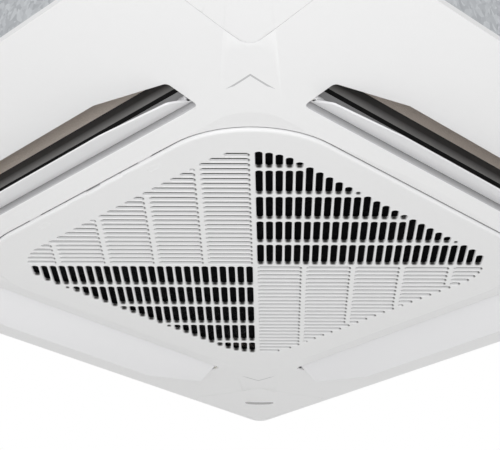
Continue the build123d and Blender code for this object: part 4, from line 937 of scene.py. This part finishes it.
def casing_seams(half=7.0):
    """Strips where the walls lap over each other, beside the casing's chamfers."""
    high = RIM_LOW - 1
    tall = high - SEAM_LOW
    strip = softened_block(-half, half, -tall / 2, tall / 2, -0.5, SEAM_OUT, edge=0.3)
    return [on_side(strip, side * SEAM_AT, (high + SEAM_LOW) / 2) for side in (-1, 1)]


def casing_screws():
    """Screws through the rim and the seams of one side, and through the rim of one chamfer."""
    head, middle = pan_head(), (RIM_LOW + CASING_TOP) / 2
    screws = [on_side(head, along, middle, CASING_HALF + RIM_OUT) for along in (-200, -70, 70, 200)]
    screws += [on_side(head, side * SEAM_AT, height, CASING_HALF + SEAM_OUT)
               for side in (-1, 1) for height in (90, 185, 275)]
    points, faces = on_side(head, 0, middle, CHAMFER_RADIAL + RIM_OUT)
    return screws + [(turn(points, 45), faces)]


new_piece("casing_trim", "root", "galvanised_steel", [casing_rim(), *all_round(casing_seams())])
new_piece("casing_screws", "root", "zinc_steel", all_round(casing_screws()))


# ---- floor, light and camera

def make_floor(half=6.0, height=-2.6):
    """A pale floor under the object, see-through from below so that it hides nothing there."""
    mesh = bpy.data.meshes.new("floor")
    mesh.from_pydata([(-half, -half, height), (half, -half, height), (half, half, height),
                      (-half, half, height)], [], [(0, 1, 2, 3)])
    floor = bpy.data.objects.new("floor", mesh)
    bpy.context.collection.objects.link(floor)
    made, tree, shader = new_material("Pale floor", {"Roughness": 0.8})
    toned = use_group(tree, TONE, Colour=screen(228, 228, 226), Amount=0.02, Size=1.0)["Colour"]
    feed(tree, shader, {"Base Color": toned})
    back = node(tree, "NewGeometry").outputs["Backfacing"]
    clear = tree.nodes.new("ShaderNodeBsdfTransparent")
    both = node(tree, "MixShader", {0: back, 1: shader.outputs[0], 2: clear.outputs[0]})
    feed(tree, tree.nodes["Material Output"], {"Surface": both.outputs[0]})
    mesh.materials.append(made)


def make_world(light=0.55):
    """A white surround, dimmer for the light that it gives than for what is seen of it, also in reflections
    and through clear faces."""
    world = bpy.data.worlds.new("surround")
    bpy.context.scene.world = world
    world.use_nodes = True
    tree = world.node_tree
    ray = node(tree, "LightPath").outputs
    seen = calc(tree, "MAXIMUM", ray["Is Camera Ray"], ray["Is Glossy Ray"])
    seen = calc(tree, "MAXIMUM", seen, ray["Is Transmission Ray"])
    strength = calc(tree, "MULTIPLY_ADD", seen, 1.0 - light, light)
    feed(tree, tree.nodes["Background"], {"Color": (1, 1, 1, 1), "Strength": strength})


def make_lamp(name, place, target, size, watts, mirrored=True):
    """A soft square lamp at a place, facing a target; one that isn't mirrored leaves no image of itself in
    glossy faces."""
    light = bpy.data.lights.new(name, "AREA")
    light.shape = "SQUARE"
    light.size = size
    light.energy = watts
    lamp = bpy.data.objects.new(name, light)
    bpy.context.collection.objects.link(lamp)
    lamp.location = place
    lamp.visible_glossy = mirrored
    lamp.rotation_euler = (Vector(target) - Vector(place)).to_track_quat("-Z", "Y").to_euler()


def make_camera():
    """The camera, below the panel and past its corner between the front and the right side."""
    camera = bpy.data.cameras.new("camera")
    camera.lens = 108.0
    camera.sensor_width = 36.0
    camera.clip_end = 50.0
    thing = bpy.data.objects.new("camera", camera)
    bpy.context.collection.objects.link(thing)
    thing.location = (1.18790, -1.15023, -0.98815)
    thing.rotation_euler = (math.radians(117.197), math.radians(-0.616), math.radians(45.841))
    bpy.context.scene.camera = thing


bpy.context.scene.view_settings.view_transform = "Standard"
make_floor()
make_world()
PANEL = (0, 0, -0.15)
make_lamp("near lamp", (1.37, -1.32, -1.13), PANEL, 0.5, 12.0, mirrored=False)
make_lamp("front lamp", (0.9, -2.3, -1.65), PANEL, 1.2, 15.0)
make_lamp("side lamp", (2.4, -0.4, -1.5), PANEL, 1.6, 7.0)
make_lamp("left lamp", (-1.7, -1.3, -1.6), PANEL, 1.2, 5.0)
make_lamp("far lamp", (0.4, 2.0, -1.6), PANEL, 1.6, 8.0)
make_lamp("top lamp", (-1.2, 0.8, 2.4), (0, 0, 0), 1.8, 30.0)
make_camera()
